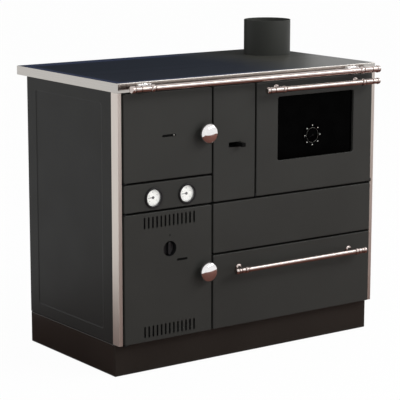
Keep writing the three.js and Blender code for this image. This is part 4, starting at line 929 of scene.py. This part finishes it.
def turnedPost(name, x, y, z, barY, settings):
    foot, waist, seat, bend = take(settings, "foot waist seat bend")
    reach = (y - barY) / mm
    return lathe(name, (x, y, z), (0, -1, 0), [(0, seat), (foot, seat), (foot, settings["footEdge"])] +
                 curve(foot, bend[0], foot - waist, bend[1], 270, 180) +
                 [(waist + wider, reach - before) for wider, before in settings["head"]] +
                 [(0, reach - settings["end"])], 32)


def buildHandle(name, node, body, postInset, settings):
    low, high = boxOf(node)
    half = (high.x - low.x) / 2 / mm
    x, z = (low.x + high.x) / 2, (low.z + high.z) / 2
    axisY = low.y + settings["axisIn"] * mm
    collar = half - postInset
    handle = lathe(name, (x, axisY, z), (1, 0, 0), barProfile(half, collar, settings), 40)
    posts = [turnedPost("post", x + sign * collar * mm, doorFace, z, axisY, postShape) for sign in (-1, 1)]
    # the bars' darker, warm chrome is a painted reflection
    finish(joinPieces(handle, *posts), barChromePaintedReflection, body, "chrome", node)


buildHandle("ovenHandle", "oven_handle", "oven_door", 64, handleShape)
buildHandle("drawerHandle", "drawer_handle", "drawer", 39, handleShape)

# slotted screws; slot sizes are shares of the head's radius and rise
screwSlot = {"edge": 0.3, "half": 0.22, "floor": 0.45, "past": 2}


def screwHead(x, y, z, radius, rise, way=-1):
    # raised head with a straight slot; way is the side that it looks to
    head = lathe("screw", (x, y, z), (0, way, 0), headProfile(radius, 0, screwSlot["edge"], rise), 24)
    half, past = radius * screwSlot["half"] * mm, screwSlot["past"]
    depths = sorted((y + way * rise * screwSlot["floor"] * mm, y + way * (rise + past) * mm))
    cutWith(head, [startBox("screwTool", (x - half, depths[0], z - past * radius * mm),
                            (x + half, depths[1], z + past * radius * mm))])
    return head


bracketShape = {"half": 23, "tall": 9, "wall": 3, "gap": 0.3, "corner": 5, "edge": 0.9, "sunk": 0.1,
                "screwAt": 17, "screwUp": 3, "screwRadius": 3, "screwRise": 1.6}


def buildBracket(side, railMiddle, settings):
    node = "rail_bracket_" + side
    x, z = middleOf(node).x, railMiddle.z
    half, tall, sunk, screwAt, screwUp = takeMm(settings, "half tall sunk screwAt screwUp")
    back = boxOf("corner_profile_left")[0].y - settings["gap"] * mm
    front = back - settings["wall"] * mm
    plate = startBox("railBracket_" + side, (x - half, front, z - tall), (x + half, back, z + tall))
    roundEdges(plate, along(1), settings["corner"] * mm, 5)
    roundEdges(plate, atDepth(front), settings["edge"] * mm, 3)
    smooth(plate)
    stem = turnedPost("stem", x, front + sunk, z, railMiddle.y, stemShape)
    head = take(settings, "screwRadius screwRise")
    screws = [screwHead(x + sign * screwAt, front + sunk, z + screwUp, *head) for sign in (-1, 1)]
    finish(joinPieces(plate, stem, *screws), chrome, "stove", "chrome", node)


def buildRail(settings):
    low, high = boxOf("guard_rail")
    middle = (low + high) / 2
    half = (high.x - low.x) / 2 / mm
    rail = lathe("guardRail", middle, (1, 0, 0), barProfile(half, half - settings["postInset"], settings), 44)
    # the rail's darker, warm chrome is a painted reflection
    finish(rail, barChromePaintedReflection, "stove", "chrome", "guard_rail")
    for side in ("left", "right"):
        buildBracket(side, middle, bracketShape)


buildRail(railShape)
print("chrome ready")

# worktop frame: folded skirt, flat lip, drop and ledge under the hob plate
frameShape = {"lip": 25, "rear": 60, "drop": 8.3, "ledge": 10, "edge": 2.5, "wall": 1.8, "skirt": 20}


def buildTopFrame(settings):
    low, high = boxOf("top_frame")
    trim = startBox("worktopFrame", low, high)
    lip, rear, skirt = takeMm(settings, "lip rear skirt")
    insetFace(trim, facing(2, 1), lip)
    sideEnd = high.x - 1 * mm

    def onSkirt(face):
        return abs(face.normal.z) < 0.1 and min(v.co.z for v in face.verts) < high.z - skirt

    def onOuterEdge(edge):
        upright = along(2)(edge) and abs(edge.verts[0].co.x) > sideEnd
        onTop = all(near(v.co.z, high.z) for v in edge.verts)
        return upright or (onTop and any(map(onSkirt, edge.link_faces)))

    movePoints(trim, lambda v: near(v.co.z, high.z) and near(v.co.y, high.y - lip, 0.1 * mm) and
               abs(v.co.x) < sideEnd, (0, lip - rear, 0))
    pick(trim, "FACE", lambda f: f.normal.z > 0.9 and all(abs(v.co.x) < sideEnd for v in f.verts))
    extrudeBy((0, 0, -settings["drop"] * mm))
    bpy.ops.mesh.inset(thickness=settings["ledge"] * mm)
    bpy.ops.mesh.delete(type="FACE")
    leaveEdit()
    removeFaces(trim, facing(2, -1))
    roundEdges(trim, onOuterEdge, settings["edge"] * mm, 4)
    thicken(trim, settings["wall"] * mm)
    smooth(trim)
    # the frame's darker steel is painted shade
    finish(trim, stainlessTopShaded, "stove", "stainless", "top_frame")
    # its top faces take the lighter blue painted reflection
    trim.data.materials.append(surroundPaintedReflection)
    pick(trim, "FACE", lambda f: f.normal.z > 0.98 and f.calc_center_median().z > high.z - 0.1 * mm)
    trim.active_material_index = 1
    bpy.ops.object.material_slot_assign()
    leaveEdit()


buildTopFrame(frameShape)

# stainless corners: side leg, narrow front leg and the return behind it
cornerShape = {"returnTo": 21.7, "fold": 2, "returnFold": 1, "wall": 1.4}


def buildCorner(side, sign, settings):
    node = "corner_profile_" + side
    low, high = boxOf(node)
    piece = startBox("cornerTrim_" + side, low, high)
    innerX, outerX = (high.x, low.x) if sign < 0 else (low.x, high.x)

    def upright(x):
        return lambda edge: all(near(v.co.x, x) and near(v.co.y, low.y) for v in edge.verts)

    removeFaces(piece, lambda f: abs(f.normal.z) > 0.9 or f.normal.y > 0.9 or f.normal.x * sign < -0.9)
    pick(piece, "EDGE", upright(innerX))
    extrudeBy((0, doorFace + settings["returnTo"] * mm - low.y, 0))
    bpy.ops.mesh.select_all(action="SELECT")
    bpy.ops.mesh.normals_make_consistent(inside=False)
    leaveEdit()
    roundEdges(piece, upright(outerX), settings["fold"] * mm, 5)
    roundEdges(piece, upright(innerX), settings["returnFold"] * mm, 3)
    thicken(piece, settings["wall"] * mm)
    smooth(piece)
    finish(piece, stainlessUpright, "stove", "stainless", node)


# side sheets with a shallow pressed field
sideShape = {"marginY": 50, "marginZ": 34, "slope": 4, "depth": 1.2, "corner": 6, "fold": 1.2, "wall": 1.5,
             "shading": 7}


def buildSide(side, sign, settings):
    node = "side_panel_" + side
    low, high = boxOf(node)
    middle = (low + high) / 2
    outer = high.x if sign > 0 else low.x
    extra = (settings["marginY"] - settings["marginZ"]) * mm
    piece = startBox("sideSheet_" + side, low, high)
    insetFace(piece, facing(0, sign), settings["marginZ"] * mm)

    def inField(v):
        return low.y + 1 * mm < v.co.y < high.y - 1 * mm

    for way in (-1, 1):
        movePoints(piece, lambda v: near(v.co.x, outer) and inField(v) and (v.co.y - middle.y) * way > 0,
                   (0, -way * extra, 0))
    pick(piece, "FACE", lambda f: f.normal.x * sign > 0.9 and all(inField(v) for v in f.verts))
    bpy.ops.mesh.inset(thickness=settings["slope"] * mm)
    bpy.ops.transform.translate(value=(-sign * settings["depth"] * mm, 0, 0))
    leaveEdit()
    roundEdges(piece, lambda e: all(inField(v) for v in e.verts) and
               not near(e.verts[0].co.x, e.verts[1].co.x, 0.2 * mm), settings["corner"] * mm, 5)
    removeFaces(piece, facing(0, -sign))
    roundEdges(piece, lambda e: folded(e, 0.9), settings["fold"] * mm, 3)
    thicken(piece, settings["wall"] * mm)
    smooth(piece, settings["shading"])
    # the side sheets take the darker paint, which is painted shade
    finish(piece, sidePaintShaded, "stove", "side_paint", node)


for side, sign in (("left", -1), ("right", 1)):
    buildCorner(side, sign, cornerShape)
    buildSide(side, sign, sideShape)

# plinth: folded black base with flanges at floor and body
plinthShape = {"flange": 30, "corner": 4, "fold": 2, "wall": 2.4}


def buildPlinth(settings):
    piece = startBox("plinthBox", *boxOf("plinth"))
    for sign in (-1, 1):
        pick(piece, "FACE", facing(2, sign))
        bpy.ops.mesh.inset(thickness=settings["flange"] * mm)
        bpy.ops.mesh.delete(type="FACE")
        leaveEdit()
    roundEdges(piece, along(2), settings["corner"] * mm, 6)
    roundEdges(piece, lambda e: folded(e, 1.2), settings["fold"] * mm, 3)
    thicken(piece, settings["wall"] * mm)
    smooth(piece)
    finish(piece, plinthPaint, "stove", "plinth_paint", "plinth")


buildPlinth(plinthShape)

# flue stub: rolled sheet with a rounded rim
pipeShape = {"wall": 2, "rimRound": 1}


def buildPipe(settings):
    low, high = boxOf("flue_pipe")
    middle = (low + high) / 2
    outer, tall = (high.x - low.x) / 2 / mm, (high.z - low.z) / mm
    inner, rim = outer - settings["wall"], settings["rimRound"]
    profile = [(inner, 0), (outer, 0)] + curve(outer - rim, tall - rim, rim, rim, 0, 180) + [(inner, 0)]
    pipe = lathe("fluePipe", (middle.x, middle.y, low.z), (0, 0, 1), profile, 96)
    finish(pipe, pipePaint, "stove", "front_paint", "flue_pipe")


buildPipe(pipeShape)

# rear sheet: screws along both upright edges hold it to the side sheets
rearScrews = {"rows": 4, "edge": 12, "margin": 40, "radius": 4.5, "rise": 2}


def buildRearScrews(settings):
    low, high = boxOf("back_panel")
    edge, margin = takeMm(settings, "edge margin")
    step = (high.z - low.z - 2 * margin) / (settings["rows"] - 1)
    heads = [screwHead(x, high.y, low.z + margin + row * step, settings["radius"], settings["rise"], 1)
             for row in range(settings["rows"]) for x in (low.x + edge, high.x - edge)]
    screws = joinPieces(*heads)
    screws.name = "rearScrews"
    finish(screws, zincPlate, "stove", "zinc_steel")


buildRearScrews(rearScrews)
print("body ready")

# studio
studio = {"floorSize": 80, "floorColour": "#fbfbfa", "floorWhite": 0.97, "worldLight": 0.5}
# two boards stand off camera and show only in reflections: a warm brown one on the floor for the lower half
# of the chrome, and a dark one behind the stove, which the hob plate mirrors at this flat angle
boards = {
    "warmBoard": {"low": (-1.3, -3.0, 0.003), "high": (4.5, 0.6, 0.004), "colours": ("#6b463e", "#76524a")},
    "darkBoard": {"low": (-0.5, 1.8, 0.0), "high": (1.9, 1.82, 2.6), "colours": ("#15181f", "#1a1e26")},
}
# soft key and fill, which only metal would show and so are hidden from it, and a strip for the edges
lamps = {
    "keyLight": {"place": (2.6, -4.2, 3.4), "target": (0, 0, 0.5), "size": (3.0, 2.2), "power": 130,
                 "mirrored": False},
    "fillLight": {"place": (-4.0, -2.5, 2.6), "target": (0, 0, 0.5), "size": (3.0, 3.0), "power": 22,
                  "mirrored": False},
    "stripLight": {"place": (2.1, -2.2, 2.6), "target": (0.3, -0.25, 0.6), "size": (4.2, 0.4), "power": 46,
                   "mirrored": True},
}


def seenRays(tree):
    # 1 for rays from the camera and for what metal and glass show, 0 for the light on the object
    path = addNode(tree, "ShaderNodeLightPath")
    direct = addNode(tree, "ShaderNodeMath", {"operation": "MAXIMUM"},
                     {0: path.outputs["Is Camera Ray"], 1: path.outputs["Is Glossy Ray"]})
    both = addNode(tree, "ShaderNodeMath", {"operation": "MAXIMUM"},
                   {0: direct.outputs[0], 1: path.outputs["Is Transmission Ray"]})
    return both.outputs[0]


def addFloor(settings):
    deselectAll()
    bpy.ops.mesh.primitive_plane_add(size=settings["floorSize"], location=(0, 0, 0))
    floor = bpy.context.object
    floor.name = "studioFloor"
    material, tree, shader = startMaterial("pale studio floor")[:3]
    shader.inputs["Base Color"].default_value = linear(settings["floorColour"])
    shader.inputs["Roughness"].default_value = 0.9
    glow = addNode(tree, "ShaderNodeEmission", {"Color": (1, 1, 1, 1), "Strength": 1.0})
    share = addNode(tree, "ShaderNodeMath", {"operation": "MULTIPLY"}, {0: seenRays(tree)})
    share.inputs[1].default_value = settings["floorWhite"]
    mix = addNode(tree, "ShaderNodeMixShader", {}, {"Fac": share.outputs[0], 1: shader.outputs["BSDF"],
                                                    2: glow.outputs["Emission"]})
    tree.links.new(mix.outputs["Shader"], tree.nodes["Material Output"].inputs["Surface"])
    floor.data.materials.append(material)


def addBoard(name, settings):
    board = startBox(name, settings["low"], settings["high"])
    felt = speckled(name + " felt", *settings["colours"], grain=60, roughness=0.9, shine=0.1)
    board.data.materials.append(felt)
    for ray in ("camera", "diffuse", "shadow", "transmission"):
        setattr(board, "visible_" + ray, False)


def addLamp(name, settings):
    data = bpy.data.lights.new(name, "AREA")
    data.shape = "RECTANGLE"
    data.size, data.size_y = settings["size"]
    data.energy = settings["power"]
    lamp = bpy.data.objects.new(name, data)
    bpy.context.scene.collection.objects.link(lamp)
    lamp.location = settings["place"]
    lamp.visible_glossy = settings["mirrored"]
    sight = Vector(settings["target"]) - Vector(settings["place"])
    lamp.rotation_euler = sight.to_track_quat("-Z", "Y").to_euler()


def addWorld(settings):
    world = bpy.data.worlds.new("studioWorld")
    bpy.context.scene.world = world
    world.use_nodes = True
    tree = world.node_tree
    tree.nodes.clear()
    level = addNode(tree, "ShaderNodeMapRange", {"To Min": settings["worldLight"], "To Max": 1.0},
                    {"Value": seenRays(tree)})
    background = addNode(tree, "ShaderNodeBackground", {"Color": (1, 1, 1, 1)},
                         {"Strength": level.outputs["Result"]})
    output = tree.nodes.new("ShaderNodeOutputWorld")
    tree.links.new(background.outputs["Background"], output.inputs["Surface"])


addFloor(studio)
for name, settings in boards.items():
    addBoard(name, settings)
addWorld(studio)
for name, settings in lamps.items():
    addLamp(name, settings)
bpy.context.scene.view_settings.view_transform = "Standard"
print("studio ready")
